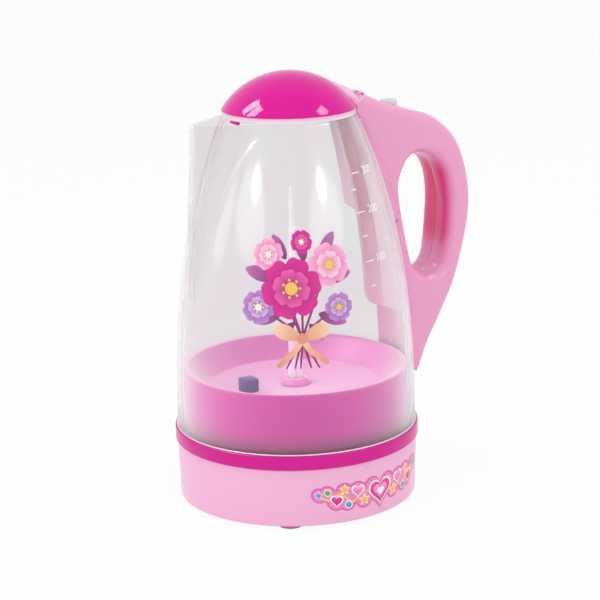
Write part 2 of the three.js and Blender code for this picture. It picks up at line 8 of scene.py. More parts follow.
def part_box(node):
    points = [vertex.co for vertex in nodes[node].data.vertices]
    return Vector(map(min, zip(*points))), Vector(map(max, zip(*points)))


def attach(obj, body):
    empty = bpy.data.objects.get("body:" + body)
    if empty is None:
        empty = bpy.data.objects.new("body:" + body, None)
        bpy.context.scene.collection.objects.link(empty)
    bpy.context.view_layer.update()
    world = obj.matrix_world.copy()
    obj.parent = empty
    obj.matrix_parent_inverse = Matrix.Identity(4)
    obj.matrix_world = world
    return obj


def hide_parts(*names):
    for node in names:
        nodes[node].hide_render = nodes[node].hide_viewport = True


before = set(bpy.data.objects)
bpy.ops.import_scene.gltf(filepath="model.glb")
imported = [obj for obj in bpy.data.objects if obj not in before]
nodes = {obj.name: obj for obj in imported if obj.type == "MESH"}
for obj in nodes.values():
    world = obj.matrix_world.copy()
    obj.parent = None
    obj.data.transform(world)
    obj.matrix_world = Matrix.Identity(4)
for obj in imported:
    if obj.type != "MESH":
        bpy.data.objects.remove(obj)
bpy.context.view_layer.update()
scene = bpy.context.scene
bandLow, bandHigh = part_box("band_ring")
axisX = (bandLow.x + bandHigh.x) / 2  # the jug stands beside the origin, the handle balances it
mm = 0.001
print("frame:", len(nodes), "nodes, jug axis at", round(axisX / mm, 2), "mm")


def at(x, y, z):
    return Vector((axisX + x * mm, y * mm, z * mm))


def ink(red, green, blue):
    def linear(c):
        c /= 255
        return c / 12.92 if c <= 0.04045 else ((c + 0.055) / 1.055) ** 2.4
    return (linear(red), linear(green), linear(blue), 1.0)


def smoothStep(low, high, value):
    t = min(max((value - low) / (high - low), 0), 1)
    return t * t * (3 - 2 * t)


def polar(radius, degrees, z):
    turn = math.radians(degrees)
    return at(radius * math.cos(turn), radius * math.sin(turn), z)


# Node helpers
def setInputs(node, values):
    for socketName, value in values.items():
        node.inputs[socketName].default_value = value


def feed(tree, socket, value):
    if isinstance(value, bpy.types.NodeSocket):
        tree.links.new(value, socket)
    else:
        socket.default_value = value


def mathNode(tree, operation, *values):
    made = tree.nodes.new("ShaderNodeMath")
    made.operation = operation
    for socket, value in zip(made.inputs, values):
        feed(tree, socket, value)
    return made.outputs[0]


def productNode(tree, values):
    total = values[0]
    for value in values[1:]:
        total = mathNode(tree, "MULTIPLY", total, value)
    return total


def rangedNode(tree, value, low, high, atLow, atHigh, kind="SMOOTHSTEP"):
    ranged = tree.nodes.new("ShaderNodeMapRange")
    ranged.interpolation_type = kind
    setInputs(ranged, {"From Min": low, "From Max": high, "To Min": atLow, "To Max": atHigh})
    tree.links.new(value, ranged.inputs["Value"])
    return ranged.outputs["Result"]


def linearNode(tree, value, atZero, atOne):
    return rangedNode(tree, value, 0, 1, atZero, atOne, "LINEAR")


def mixedNode(tree, blend, share, first, second):
    mix = tree.nodes.new("ShaderNodeMix")
    mix.data_type = "RGBA"
    mix.blend_type = blend
    for socketName, value in (("Factor", share), ("A", first), ("B", second)):
        feed(tree, mix.inputs[socketName], value)
    return mix.outputs["Result"]


def noiseNode(tree, scale, detail):
    coords = tree.nodes.new("ShaderNodeTexCoord")
    noise = tree.nodes.new("ShaderNodeTexNoise")
    setInputs(noise, {"Scale": scale, "Detail": detail})
    tree.links.new(coords.outputs["Object"], noise.inputs["Vector"])
    return noise.outputs["Fac"]


def bumpNode(tree, height, strength, distance):
    bump = tree.nodes.new("ShaderNodeBump")
    bump.inputs["Distance"].default_value = distance
    tree.links.new(strength, bump.inputs["Strength"])
    tree.links.new(height, bump.inputs["Height"])
    return bump.outputs["Normal"]


def backdropRays(tree):
    rays = tree.nodes.new("ShaderNodeLightPath")  # rays that see, mirror or look through to the backdrop
    seen = mathNode(tree, "MAXIMUM", rays.outputs["Is Camera Ray"], rays.outputs["Is Glossy Ray"])
    return mathNode(tree, "MAXIMUM", seen, rays.outputs["Is Transmission Ray"])


# Camera, set as the photograph was taken
cameraSetup = {"place": (-0.4533, -0.7560, 0.3164), "towards": (0.4865, 0.8363, -0.2529),
               "lens": 122.2, "sensor": 36, "roll": -1.4}
camera = bpy.data.objects.new("photoCamera", bpy.data.cameras.new("photoCamera"))
scene.collection.objects.link(camera)
camera.data.lens = cameraSetup["lens"]
camera.data.sensor_width = cameraSetup["sensor"]
camera.location = cameraSetup["place"]
camera.rotation_mode = "QUATERNION"
level = Vector(cameraSetup["towards"]).to_track_quat("-Z", "Y")
camera.rotation_quaternion = level @ Quaternion((0, 0, 1), math.radians(cameraSetup["roll"]))
scene.camera = camera
scene.view_settings.view_transform = "Standard"

# Soft boxes: bearing and height in degrees from the jug, distance and size in metres, power in watts
jugMiddle = at(0, 0, 100)
softBoxes = {
    "leftHalo": {"bearing": 190, "height": 17, "distance": 1.3, "size": (0.85, 0.46), "power": 1.25},
    "leftCore": {"bearing": 193, "height": 24, "distance": 1.28, "size": (0.21, 0.16), "power": 0.6},
    "rightHalo": {"bearing": 281, "height": 17, "distance": 1.3, "size": (0.95, 0.46), "power": 1.4},
    "rightCore": {"bearing": 281, "height": 24, "distance": 1.28, "size": (0.21, 0.16), "power": 0.6},
    "leftHigh": {"bearing": 138, "height": 50, "distance": 1.3, "size": (0.2, 0.44), "power": 5.1},
    "middleHigh": {"bearing": 157, "height": 50, "distance": 1.3, "size": (0.26, 0.44), "power": 6.5},
    "rightHigh": {"bearing": 321, "height": 51, "distance": 1.3, "size": (0.3, 0.24), "power": 2.8},
    "frontFill": {"bearing": 232, "height": 24, "distance": 1.5, "size": (1.0, 0.8), "power": 0.65},
    "leftFill": {"bearing": 150, "height": 14, "distance": 1.3, "size": (0.6, 0.6), "power": 2.4},
    "rightFill": {"bearing": 340, "height": 14, "distance": 1.3, "size": (0.6, 0.6), "power": 1.5},
    "topBox": {"bearing": 240, "height": 78, "distance": 1.2, "size": (1.0, 1.0), "power": 3.6},
}
for name, box in softBoxes.items():
    lamp = bpy.data.lights.new(name, "AREA")
    lamp.shape = "RECTANGLE" if name.endswith("High") else "ELLIPSE"
    lamp.size, lamp.size_y = box["size"]
    lamp.energy = box["power"]
    lampObject = bpy.data.objects.new(name, lamp)
    scene.collection.objects.link(lampObject)
    turn, rise = math.radians(box["bearing"]), math.radians(box["height"])
    away = Vector((math.cos(turn) * math.cos(rise), math.sin(turn) * math.cos(rise), math.sin(rise)))
    lampObject.location = jugMiddle + away * box["distance"]
    lampObject.rotation_mode = "QUATERNION"
    lampObject.rotation_quaternion = (-away).to_track_quat("-Z", "Y")
    lampObject.visible_glossy = not name.endswith(("Fill", "topBox"))  # these aren't mirrored
    lampObject.visible_diffuse = not name.endswith("High")  # these are only mirrored

# World: white where it is seen or mirrored, plain soft fill otherwise
worldFill = {"colour": (1.0, 0.99, 0.995, 1), "fill": 0.62, "seen": 1.0}
world = bpy.data.worlds.new("studio")
scene.world = world
world.use_nodes = True
tree = world.node_tree
tree.nodes.clear()
sky = tree.nodes.new("ShaderNodeBackground")
sky.inputs["Color"].default_value = worldFill["colour"]
worldOut = tree.nodes.new("ShaderNodeOutputWorld")
strength = linearNode(tree, backdropRays(tree), worldFill["fill"], worldFill["seen"])
tree.links.new(strength, sky.inputs["Strength"])
tree.links.new(sky.outputs[0], worldOut.inputs["Surface"])
print("stage: camera, soft boxes and world are set")


# Node groups that several finishes share
def newGroup(name, inputs, outputs):
    group = bpy.data.node_groups.new(name, "ShaderNodeTree")
    for socketName, kind, value in inputs:
        socket = group.interface.new_socket(socketName, in_out="INPUT", socket_type=kind)
        socket.default_value = value
    for socketName, kind in outputs:
        group.interface.new_socket(socketName, in_out="OUTPUT", socket_type=kind)
    return group, group.nodes.new("NodeGroupInput"), group.nodes.new("NodeGroupOutput")


# Moulded plastic: slow colour drift from the melt, fine orange peel and uneven gloss
mouldedLook = {"meltScale": 16, "melt": (0.82, 1.06), "smearScale": 30, "smear": (-0.03, 0.03),
               "peelScale": 900, "peelHeight": 0.0001}
moulded, given, result = newGroup(
    "mouldedPlastic",
    [("Colour", "NodeSocketColor", (0.8, 0.8, 0.8, 1)), ("Drift", "NodeSocketFloat", 0.5),
     ("Gloss", "NodeSocketFloat", 0.25), ("Peel", "NodeSocketFloat", 0.1)],
    [("Colour", "NodeSocketColor"), ("Roughness", "NodeSocketFloat"), ("Normal", "NodeSocketVector")])
melt = linearNode(moulded, noiseNode(moulded, mouldedLook["meltScale"], 1), *mouldedLook["melt"])
drifted = mixedNode(moulded, "MULTIPLY", given.outputs["Drift"], given.outputs["Colour"], melt)
smears = linearNode(moulded, noiseNode(moulded, mouldedLook["smearScale"], 2), *mouldedLook["smear"])
peel = noiseNode(moulded, mouldedLook["peelScale"], 2)
moulded.links.new(drifted, result.inputs["Colour"])
moulded.links.new(mathNode(moulded, "ADD", given.outputs["Gloss"], smears), result.inputs["Roughness"])
moulded.links.new(bumpNode(moulded, peel, given.outputs["Peel"], mouldedLook["peelHeight"]),
                  result.inputs["Normal"])

# Clear plastic: long shallow waves left by the mould
waveLook = {"scale": 40, "height": 0.001}
waves, given, result = newGroup(
    "mouldWaves", [("Depth", "NodeSocketFloat", 0.2)], [("Normal", "NodeSocketVector")])
swell = noiseNode(waves, waveLook["scale"], 1)
waves.links.new(bumpNode(waves, swell, given.outputs["Depth"], waveLook["height"]), result.inputs["Normal"])


def bareMaterial(name):
    material = bpy.data.materials.new(name)
    material.use_nodes = True
    shader = material.node_tree.nodes["Principled BSDF"]
    return material, material.node_tree, shader


def mouldedMaterial(name, colour, gloss=0.25, drift=0.5, peelDepth=0.015, mirror=0.5):
    material, tree, shader = bareMaterial(name)
    group = tree.nodes.new("ShaderNodeGroup")
    group.node_tree = moulded
    setInputs(group, {"Colour": colour, "Gloss": gloss, "Drift": drift, "Peel": peelDepth})
    for made, taken in (("Colour", "Base Color"), ("Roughness", "Roughness"), ("Normal", "Normal")):
        tree.links.new(group.outputs[made], shader.inputs[taken])
    setInputs(shader, {"IOR": 1.5, "Specular IOR Level": mirror})
    return material


def placeParts(tree):
    coords = tree.nodes.new("ShaderNodeTexCoord")
    parts = tree.nodes.new("ShaderNodeSeparateXYZ")
    tree.links.new(coords.outputs["Object"], parts.inputs[0])
    return parts.outputs["X"], parts.outputs["Y"], parts.outputs["Z"]


def deepened(material, mask, colour):
    tree = material.node_tree
    shader = tree.nodes["Principled BSDF"]
    before = shader.inputs["Base Color"].links[0].from_socket
    tree.links.new(mixedNode(tree, "MIX", mask, before, colour), shader.inputs["Base Color"])


# Thin clear walls bend the view only a little, and shine like lacquer
clearLook = {"IOR": 1.015, "Coat Weight": 0.75, "Coat Roughness": 0.12, "Coat IOR": 1.62, "Sheen Roughness": 0.42}


def clearMaterial(name, colour, roughness, haze, depth, letThrough, clarity):
    material, tree, shader = bareMaterial(name)
    if depth:
        group = tree.nodes.new("ShaderNodeGroup")
        group.node_tree = waves
        group.inputs["Depth"].default_value = depth
        tree.links.new(group.outputs["Normal"], shader.inputs["Normal"])
    setInputs(shader, clearLook)
    setInputs(shader, {"Base Color": colour, "Roughness": roughness, "Transmission Weight": clarity,
                       "Sheen Weight": haze})
    light = tree.nodes.new("ShaderNodeLightPath")  # clear walls let the lamps reach what is inside
    letIn = linearNode(tree, light.outputs["Is Shadow Ray"], 1.0, 1.0 - letThrough)
    tree.links.new(letIn, shader.inputs["Alpha"])
    return material


mouldedFinishes = {
    "palePink": {"colour": ink(243, 182, 217), "gloss": 0.28, "drift": 0.05},
    "handlePink": {"colour": ink(237, 163, 202), "gloss": 0.24, "drift": 0.05},
    "bandMagenta": {"colour": ink(212, 10, 144), "gloss": 0.24, "drift": 0.2, "mirror": 0.3},
    "lidMagenta": {"colour": ink(222, 2, 150), "gloss": 0.07, "drift": 0.15, "peelDepth": 0.008, "mirror": 0.24},
    "drumPink": {"colour": ink(210, 104, 176), "gloss": 0.38, "drift": 0.2, "mirror": 0.3},
    "linerPink": {"colour": ink(248, 200, 224), "gloss": 0.3, "drift": 0.2},
    "beadPale": {"colour": ink(250, 226, 240), "gloss": 0.1, "drift": 0.1},
    "buttonGrey": {"colour": ink(222, 218, 222), "gloss": 0.3, "drift": 0.5},
    "darkPlastic": {"colour": ink(82, 62, 128), "gloss": 0.4, "drift": 0.5},
    "footRubber": {"colour": ink(196, 122, 152), "gloss": 0.7, "drift": 0.6, "peelDepth": 0.4},
    "boardGreen": {"colour": ink(46, 108, 60), "gloss": 0.5, "drift": 0.8},
    "cellSkin": {"colour": ink(58, 58, 64), "gloss": 0.35, "drift": 0.6},
    # flangeShade: the handle's pink painted paler as light for the flange's inner face, with painted shade added below
    "flangeShade": {"colour": ink(255, 224, 238), "gloss": 0.4, "drift": 0.2, "mirror": 0.1},
}
clearFinishes = {
    "jugClear": {"colour": (0.868, 0.863, 0.867, 1), "roughness": 0.03, "haze": 1.0, "depth": 0.0,
                 "letThrough": 0.98, "clarity": 1.0},
    "guideClear": {"colour": (0.98, 0.93, 0.965, 1), "roughness": 0.25, "haze": 0.8, "depth": 0.03,
                   "letThrough": 0.9, "clarity": 0.6},
}
finishes = {name: mouldedMaterial(name, **look) for name, look in mouldedFinishes.items()}
finishes.update({name: clearMaterial(name, **look) for name, look in clearFinishes.items()})

# Painted shade: the grip's hollow is painted a deeper pink where it lies in shade
gripPaintedShade = {"colour": ink(232, 72, 136), "x": (64, 71, 79.8, 81), "z": (99, 112, 138, 150),
            "reach": (7, 12.6)}
tree = finishes["handlePink"].node_tree
across, sideways, upwards = placeParts(tree)
fromX = [axisX + x * mm for x in gripPaintedShade["x"]]
deepened(finishes["handlePink"], productNode(tree, [
    rangedNode(tree, across, fromX[0], fromX[1], 0, 1), rangedNode(tree, across, fromX[2], fromX[3], 1, 0),
    rangedNode(tree, upwards, gripPaintedShade["z"][0] * mm, gripPaintedShade["z"][1] * mm, 0, 1),
    rangedNode(tree, upwards, gripPaintedShade["z"][2] * mm, gripPaintedShade["z"][3] * mm, 1, 0),
    rangedNode(tree, mathNode(tree, "ABSOLUTE", sideways),
               gripPaintedShade["reach"][0] * mm, gripPaintedShade["reach"][1] * mm, 1, 0),
]), gripPaintedShade["colour"])

# The flange's inner face: painted shade, darker in the recess each side of its middle web and fading downwards, and
# darker at the web's top where it lies in shade under the lid
flangePaintedShade = {"from": 8.0, "to": 19.5, "fadeFrom": 76, "fadeTo": 169, "topFrom": 142, "topTo": 148,
              "low": ink(250, 188, 218), "middle": ink(192, 40, 112), "high": ink(190, 4, 86),
              "top": ink(196, 44, 108)}
tree = finishes["flangeShade"].node_tree
across, sideways, upwards = placeParts(tree)
offAxis = mathNode(tree, "SUBTRACT", across, axisX)
bearing = mathNode(tree, "ABSOLUTE", mathNode(tree, "ARCTAN2", sideways, offAxis))
fade = tree.nodes.new("ShaderNodeValToRGB")
fade.color_ramp.elements[0].color = flangePaintedShade["low"]
fade.color_ramp.elements[1].color = flangePaintedShade["high"]
fade.color_ramp.elements.new(0.5).color = flangePaintedShade["middle"]
faded = rangedNode(tree, upwards, flangePaintedShade["fadeFrom"] * mm, flangePaintedShade["fadeTo"] * mm, 0, 1)
tree.links.new(faded, fade.inputs["Fac"])
deepened(finishes["flangeShade"], productNode(tree, [
    rangedNode(tree, bearing, math.radians(flangePaintedShade["from"]), math.radians(flangePaintedShade["from"] + 1), 0, 1),
    rangedNode(tree, bearing, math.radians(flangePaintedShade["to"] - 1), math.radians(flangePaintedShade["to"]), 1, 0),
]), fade.outputs["Color"])
deepened(finishes["flangeShade"], productNode(tree, [
    rangedNode(tree, bearing, math.radians(flangePaintedShade["from"] - 1), math.radians(flangePaintedShade["from"]), 1, 0),
    rangedNode(tree, upwards, flangePaintedShade["topFrom"] * mm, flangePaintedShade["topTo"] * mm, 0, 1),
]), flangePaintedShade["top"])

# The liner's lower edge is as pale as the jug
linerTint = {"colour": ink(236, 228, 234), "from": 172.6, "to": 173.1}
tree = finishes["linerPink"].node_tree
lowEdge = rangedNode(tree, placeParts(tree)[2], linerTint["from"] * mm, linerTint["to"] * mm, 1, 0)
deepened(finishes["linerPink"], lowEdge, linerTint["colour"])

# Painted shade: the drum's wall is painted deeper than its dish, which the light from above reaches, and darker still
# low down as the shadow above the band; all of it has a frosted bloom
drumPaintedShade = {"colour": ink(204, 32, 156), "from": 48.6, "to": 50.0, "shade": ink(150, 44, 104),
            "shadeFrom": 33, "shadeTo": 43}
drumBloom = {"Sheen Weight": 1.0, "Sheen Roughness": 0.5}
tree = finishes["drumPink"].node_tree
across, sideways, upwards = placeParts(tree)
offAxis = mathNode(tree, "SUBTRACT", across, axisX)
outwards = mathNode(tree, "SQRT", mathNode(tree, "ADD", mathNode(tree, "MULTIPLY", offAxis, offAxis),
                                           mathNode(tree, "MULTIPLY", sideways, sideways)))
onWall = rangedNode(tree, outwards, drumPaintedShade["from"] * mm, drumPaintedShade["to"] * mm, 0, 1)
deepened(finishes["drumPink"], onWall, drumPaintedShade["colour"])
lowDown = rangedNode(tree, upwards, drumPaintedShade["shadeFrom"] * mm, drumPaintedShade["shadeTo"] * mm, 1, 0)
deepened(finishes["drumPink"], productNode(tree, [onWall, lowDown]), drumPaintedShade["shade"])
setInputs(tree.nodes["Principled BSDF"], drumBloom)

# Print: colours painted on the mesh, with the fine grain of a screen print
printLook = {"grain": 2200, "grainShare": 0.18, "roughness": 0.32}
material, tree, shader = bareMaterial("printInk")
painted = tree.nodes.new("ShaderNodeAttribute")
painted.attribute_name = "tint"
grained = mixedNode(tree, "SOFT_LIGHT", printLook["grainShare"], painted.outputs["Color"],
                    noiseNode(tree, printLook["grain"], 1))
tree.links.new(grained, shader.inputs["Base Color"])
shader.inputs["Roughness"].default_value = printLook["roughness"]
finishes["printInk"] = material

# Plated steel for the screws, the hinge pin and the battery contacts
steelLook = {"grain": 1600, "roughness": (0.22, 0.42), "colour": ink(196, 198, 203)}
material, tree, shader = bareMaterial("platedSteel")
brushed = linearNode(tree, noiseNode(tree, steelLook["grain"], 3), *steelLook["roughness"])
tree.links.new(brushed, shader.inputs["Roughness"])
setInputs(shader, {"Base Color": steelLook["colour"], "Metallic": 1.0})
finishes["platedSteel"] = material
print("finishes:", len(finishes), "materials")


# Mesh helpers: spun profiles, mapped grids and softened edges
def spun(profile, steps=144, x=0.0, y=0.0, closed=True):
    bm = bmesh.new()
    verts = [bm.verts.new(at(x + r, y, z)) for r, z in profile]
    edges = [bm.edges.new(pair) for pair in zip(verts, verts[1:])]
    if closed:
        edges.append(bm.edges.new((verts[-1], verts[0])))
    bmesh.ops.spin(bm, geom=verts + edges, cent=at(x, y, 0), axis=(0, 0, 1), angle=math.tau, steps=steps,
                   use_merge=True, use_duplicate=False)
    bmesh.ops.remove_doubles(bm, verts=bm.verts, dist=1e-7)
    bmesh.ops.recalc_face_normals(bm, faces=bm.faces)
    return bm


def mappedGrid(columns, rows, place):
    bm = bmesh.new()
    bmesh.ops.create_grid(bm, x_segments=columns, y_segments=rows, size=1)
    for vert in bm.verts:
        vert.co = place((vert.co.x + 1) / 2, (vert.co.y + 1) / 2)
    bmesh.ops.remove_doubles(bm, verts=bm.verts, dist=1e-7)
    bmesh.ops.dissolve_degenerate(bm, edges=bm.edges, dist=1e-8)
    bmesh.ops.recalc_face_normals(bm, faces=bm.faces)
    return bm


def capped(bm):
    bmesh.ops.holes_fill(bm, edges=bm.edges, sides=0)
    bmesh.ops.recalc_face_normals(bm, faces=bm.faces)
    return bm


def softened(bm, width, segments=3, angle=30, beyond=0.0):
    bm.normal_update()
    sharp = [e for e in bm.edges if e.is_manifold and e.calc_face_angle() > math.radians(angle)
             and min((v.co - at(0, 0, v.co.z / mm)).length for v in e.verts) >= beyond * mm]
    bmesh.ops.bevel(bm, geom=sharp, offset=width * mm, offset_type="OFFSET", segments=segments, profile=0.5,
                    affect="EDGES", material=-1, clamp_overlap=True)
    return bm


def block(low, high):
    bm = bmesh.new()
    bmesh.ops.create_cube(bm, size=1)
    middle = [(a + b) / 2 for a, b in zip(low, high)]
    for vert in bm.verts:
        vert.co = at(*[m + c * (b - a) for m, c, a, b in zip(middle, vert.co, low, high)])
    return bm


def shade(mesh, angle):
    bm = bmesh.new()
    bm.from_mesh(mesh)
    bm.normal_update()
    for face in bm.faces:
        face.smooth = True
    for edge in bm.edges:
        edge.smooth = not edge.is_manifold or edge.calc_face_angle() < math.radians(angle)
    bm.to_mesh(mesh)
    bm.free()


def piece(bm, name, body, finish, stands=(), angle=40):
    mesh = bpy.data.meshes.new(name)
    bm.to_mesh(mesh)
    bm.free()
    mesh.materials.append(finishes[finish])
    made = bpy.data.objects.new(name, mesh)
    scene.collection.objects.link(made)
    shade(mesh, angle)
    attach(made, body)
    if stands:
        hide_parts(*stands)
    return made


def cutAway(made, cutter, operation="DIFFERENCE", angle=50):
    tool = bpy.data.objects.new("cutter", bpy.data.meshes.new("cutter"))
    cutter.to_mesh(tool.data)
    cutter.free()
    scene.collection.objects.link(tool)
    cut = made.modifiers.new("cut", "BOOLEAN")
    cut.operation = operation
    cut.solver = "MANIFOLD"
    cut.object = tool
    bpy.context.view_layer.update()
    seenNow = made.evaluated_get(bpy.context.evaluated_depsgraph_get())
    carved = bpy.data.meshes.new_from_object(seenNow)
    made.modifiers.clear()
    old = made.data
    carved.name = old.name
    made.data = carved
    bpy.data.meshes.remove(old)
    bpy.data.objects.remove(tool)
    shade(carved, angle)


def joinInto(bm, other):
    mesh = bpy.data.meshes.new("joined")
    other.to_mesh(mesh)
    other.free()
    bm.from_mesh(mesh)
    bpy.data.meshes.remove(mesh)
    return bm


def uprightRod(radius, low, high, x, y=0.0, steps=48):
    return spun([(0, low), (radius, low), (radius, high), (0, high)], steps, x, y, False)


def rodAlongY(radius, low, high, x, z):
    bm = uprightRod(radius, low, high, 0)
    lying = Quaternion((1, 0, 0), math.radians(-90)).to_matrix()
    bmesh.ops.rotate(bm, verts=bm.verts, cent=at(0, 0, 0), matrix=lying)
    bmesh.ops.translate(bm, verts=bm.verts, vec=Vector((x * mm, 0, z * mm)))
    return bm


def splinePoints(points, count, closed):
    def ends(i):
        return points[i % len(points)] if closed else points[min(max(i, 0), len(points) - 1)]
    spans = len(points) if closed else len(points) - 1
    made = []
    for k in range(count if closed else count + 1):
        s = k * spans / count
        i = min(int(s), spans - 1)
        t = s - i
        p0, p1, p2, p3 = (Vector(ends(i + j)) for j in (-1, 0, 1, 2))
        made.append(0.5 * (2 * p1 + (p2 - p0) * t + (2 * p0 - 5 * p1 + 4 * p2 - p3) * t * t
                           + (3 * p1 - p0 - 3 * p2 + p3) * t ** 3))
    return made


# Jug: a bell with the wedge of the spout laid over it, in polar form about the jug's axis
jug = {"foot": 29.5, "height": 142, "footRadius": 53.2, "rimRadius": 29.2, "power": 2.65, "wall": 1.8,
       "reach": 48, "depth": 82, "halfAngle": 40, "bulge": 1.3, "flare": 1.0, "flareDepth": 6, "nose": 4,
       "crease": 0.9, "rise": 1.5, "spreadRise": 6, "columns": 320, "crowd": 1.3, "levels": 72, "lipSteps": 8}
rim = jug["foot"] + jug["height"]


def bellRadius(z):
    t = min(max((z - jug["foot"]) / jug["height"], 0), 1)
    return jug["footRadius"] - (jug["footRadius"] - jug["rimRadius"]) * t ** jug["power"]


def jugRadius(z, degrees):
    bell = bellRadius(z)
    up = 1 - (rim - z) / jug["depth"]
    if up <= 0:
        return bell
    root = bellRadius(rim - jug["depth"])
    lip = jug["flare"] * max(0, 1 - (rim - z) / jug["flareDepth"]) ** 2
    swell = 6.75 * (1 - up) ** 2 * up  # 1 at its highest
    ridge = root + (jug["reach"] - root) * up ** jug["rise"] + jug["bulge"] * swell + lip
    ridge = max(ridge, bell)
    spread = math.radians(jug["halfAngle"]) * (up + up ** jug["spreadRise"]) / 2
    nose = math.radians(jug["nose"]) * up
    turn = math.radians(abs(degrees))
    turn = (math.hypot(turn, nose) - nose) * spread / (math.hypot(spread, nose) - nose)
    side = bell * math.sin(spread)
    run = ridge - bell * math.cos(spread)
    beyond = turn > spread
    near = max(0, 2 * spread - turn) if beyond else turn
    line = ridge * side / (side * math.cos(near) + run * math.sin(near))
    flank = bell - abs(line - bell) if beyond else line
    soft = jug["crease"] * up
    blend = max(0, soft - abs(bell - flank))
    return max(bell, flank) + blend ** 2 / (4 * soft)


def onJug(degrees, z, lift=0.0):
    return polar(jugRadius(z, degrees) + lift, 180 + degrees, z)


heights = [jug["foot"] + jug["height"] * i / jug["levels"] for i in range(jug["levels"])]
lipRound = jug["wall"] / 2
wallPath = [(z, 0) for z in heights]
for i in range(jug["lipSteps"] + 1):
    turn = math.pi * i / jug["lipSteps"]
    wallPath.append((rim - lipRound + lipRound * math.sin(turn), lipRound * (1 - math.cos(turn))))
wallPath += [(z, jug["wall"]) for z in reversed(heights)]
wallPath.append(wallPath[0])


def jugWall(u, v):
    s = 2 * u - 1
    degrees = math.copysign(180 * abs(s) ** jug["crowd"], s)
    z, inset = wallPath[round(v * (len(wallPath) - 1))]
    return onJug(degrees, z, -inset)


piece(mappedGrid(jug["columns"], len(wallPath) - 1, jugWall), "jug_clear", "kettle_body", "jugClear",
      ["jug_shell"], 50)
print("jug: built")

# Base: drafted shell, band, the bead above it and feet
base = {"bottom": 1.5, "top": 27.2, "radius": 53.6, "draft": 0.8, "inner": 50.4, "flange": 39.4, "roof": 2.4,
        "chamfer": 0.4, "edge": 0.35}
baseFoot, baseRoof = base["radius"] - base["draft"], base["top"] - base["roof"]
piece(softened(spun([
    (baseFoot - base["chamfer"], base["bottom"]), (baseFoot, base["bottom"] + base["chamfer"]),
    (base["radius"], base["top"]), (base["flange"], base["top"]), (base["flange"], baseRoof),
    (base["inner"], baseRoof), (base["inner"], base["bottom"]),
]), base["edge"]), "base_pink", "kettle_body", "palePink", ["base_shell"])
band = {"bottom": 27.5, "height": 6.2, "radius": 54.4, "floor": 1.7, "lip": 0.9, "lipOut": 0.5, "lipIn": 0.2,
        "edge": 0.45}
bandTop, bandFloor = band["bottom"] + band["height"], band["bottom"] + band["floor"]
bandSeat = band["radius"] - band["lip"]
piece(softened(spun([
    (base["flange"], band["bottom"]), (band["radius"], band["bottom"]), (band["radius"], bandTop - band["lipOut"]),
    (band["radius"] - band["lip"] / 2, bandTop), (bandSeat, bandTop - band["lipIn"]),
    (bandSeat, bandFloor), (base["flange"], bandFloor),
]), band["edge"]), "band_magenta", "kettle_body", "bandMagenta", ["band_ring"])
bead = {"height": 33.95, "radius": 53.45, "size": 0.3, "sides": 10}
beadTurns = [math.tau * k / bead["sides"] for k in range(bead["sides"])]
piece(spun([(bead["radius"] + bead["size"] * math.cos(turn), bead["height"] + bead["size"] * math.sin(turn))
            for turn in beadTurns]), "jug_bead", "kettle_body", "beadPale", angle=60)
foot = {"radius": 5.2, "height": 1.2, "ring": 46.3, "turn": -4.5, "edge": 0.3}
for i in range(3):
    turn = math.radians(120 * i + foot["turn"])
    x, y = foot["ring"] * math.cos(turn), foot["ring"] * math.sin(turn)
    pad = softened(uprightRod(foot["radius"], 0, foot["height"], x, y), foot["edge"])
    piece(pad, f"foot_pad_{i + 1}", "kettle_body", "footRubber", [f"foot_{i + 1}"])
print("base: shell, band and feet built")


# Base plate and battery door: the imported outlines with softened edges, and grip ridges on the door
def softCopy(node, width, beyond=0.0):
    bm = bmesh.new()
    bm.from_mesh(nodes[node].data)
    bm.transform(nodes[node].matrix_world)
    bmesh.ops.remove_doubles(bm, verts=bm.verts, dist=1e-6)
    bmesh.ops.dissolve_limit(bm, angle_limit=math.radians(1), verts=bm.verts, edges=bm.edges)
    return softened(bm, width, 2, 45, beyond)


ridges = {"count": 5, "gap": 2.2, "long": 14, "width": 1.0, "rise": 0.4, "sunk": 0.2, "inset": 4, "edge": 0.3}
plateLow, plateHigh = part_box("base_plate")
plateRim = (plateHigh.x - plateLow.x) / 2 / mm - 1  # only the edges outside this are softened
piece(softCopy("base_plate", 0.3, plateRim), "plate_pink", "kettle_body", "palePink", ["base_plate"])
door = softCopy("battery_door", 0.3)
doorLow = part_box("battery_door")[0]
for i in range(ridges["count"]):
    x = (doorLow.x - axisX) / mm + ridges["inset"] + i * ridges["gap"]
    joinInto(door, softened(block((x, -ridges["long"] / 2, doorLow.z / mm - ridges["rise"]),
                                  (x + ridges["width"], ridges["long"] / 2, doorLow.z / mm + ridges["sunk"])),
                            ridges["edge"]))
piece(door, "door_pink", "kettle_body", "palePink", ["battery_door"])
print("base: plate and battery door built")

# Inside the jug: dished drum, light guide, collar and sensor
drum = {"radius": 50.3, "foot": 29.5, "top": 59.5, "floor": 50, "rim": 47.7, "flat": 38.7, "bore": 3.5,
        "wall": 1.8, "inset": 0.9, "edge": 1.4}
drumInner, drumUnder = drum["radius"] - drum["wall"], drum["floor"] - drum["wall"]
piece(softened(spun([
    (drumInner, drum["foot"]), (drum["radius"], drum["foot"]), (drum["radius"], drum["top"]),
    (drum["rim"], drum["top"]), (drum["flat"], drum["floor"]), (drum["bore"], drum["floor"]),
    (drum["bore"], drumUnder), (drum["flat"] - drum["inset"], drumUnder),
    (drumInner, drum["top"] - drum["wall"] * 2),
]), drum["edge"], 4), "drum_pink", "kettle_body", "drumPink", ["inner_drum"])
guide = {"radius": 3.2, "tip": 0.8, "bottom": 33.7, "shoulder": 52.7, "top": 140,
         "roundFrom": 0.8, "roundTo": 0.25, "roundShare": 0.7}
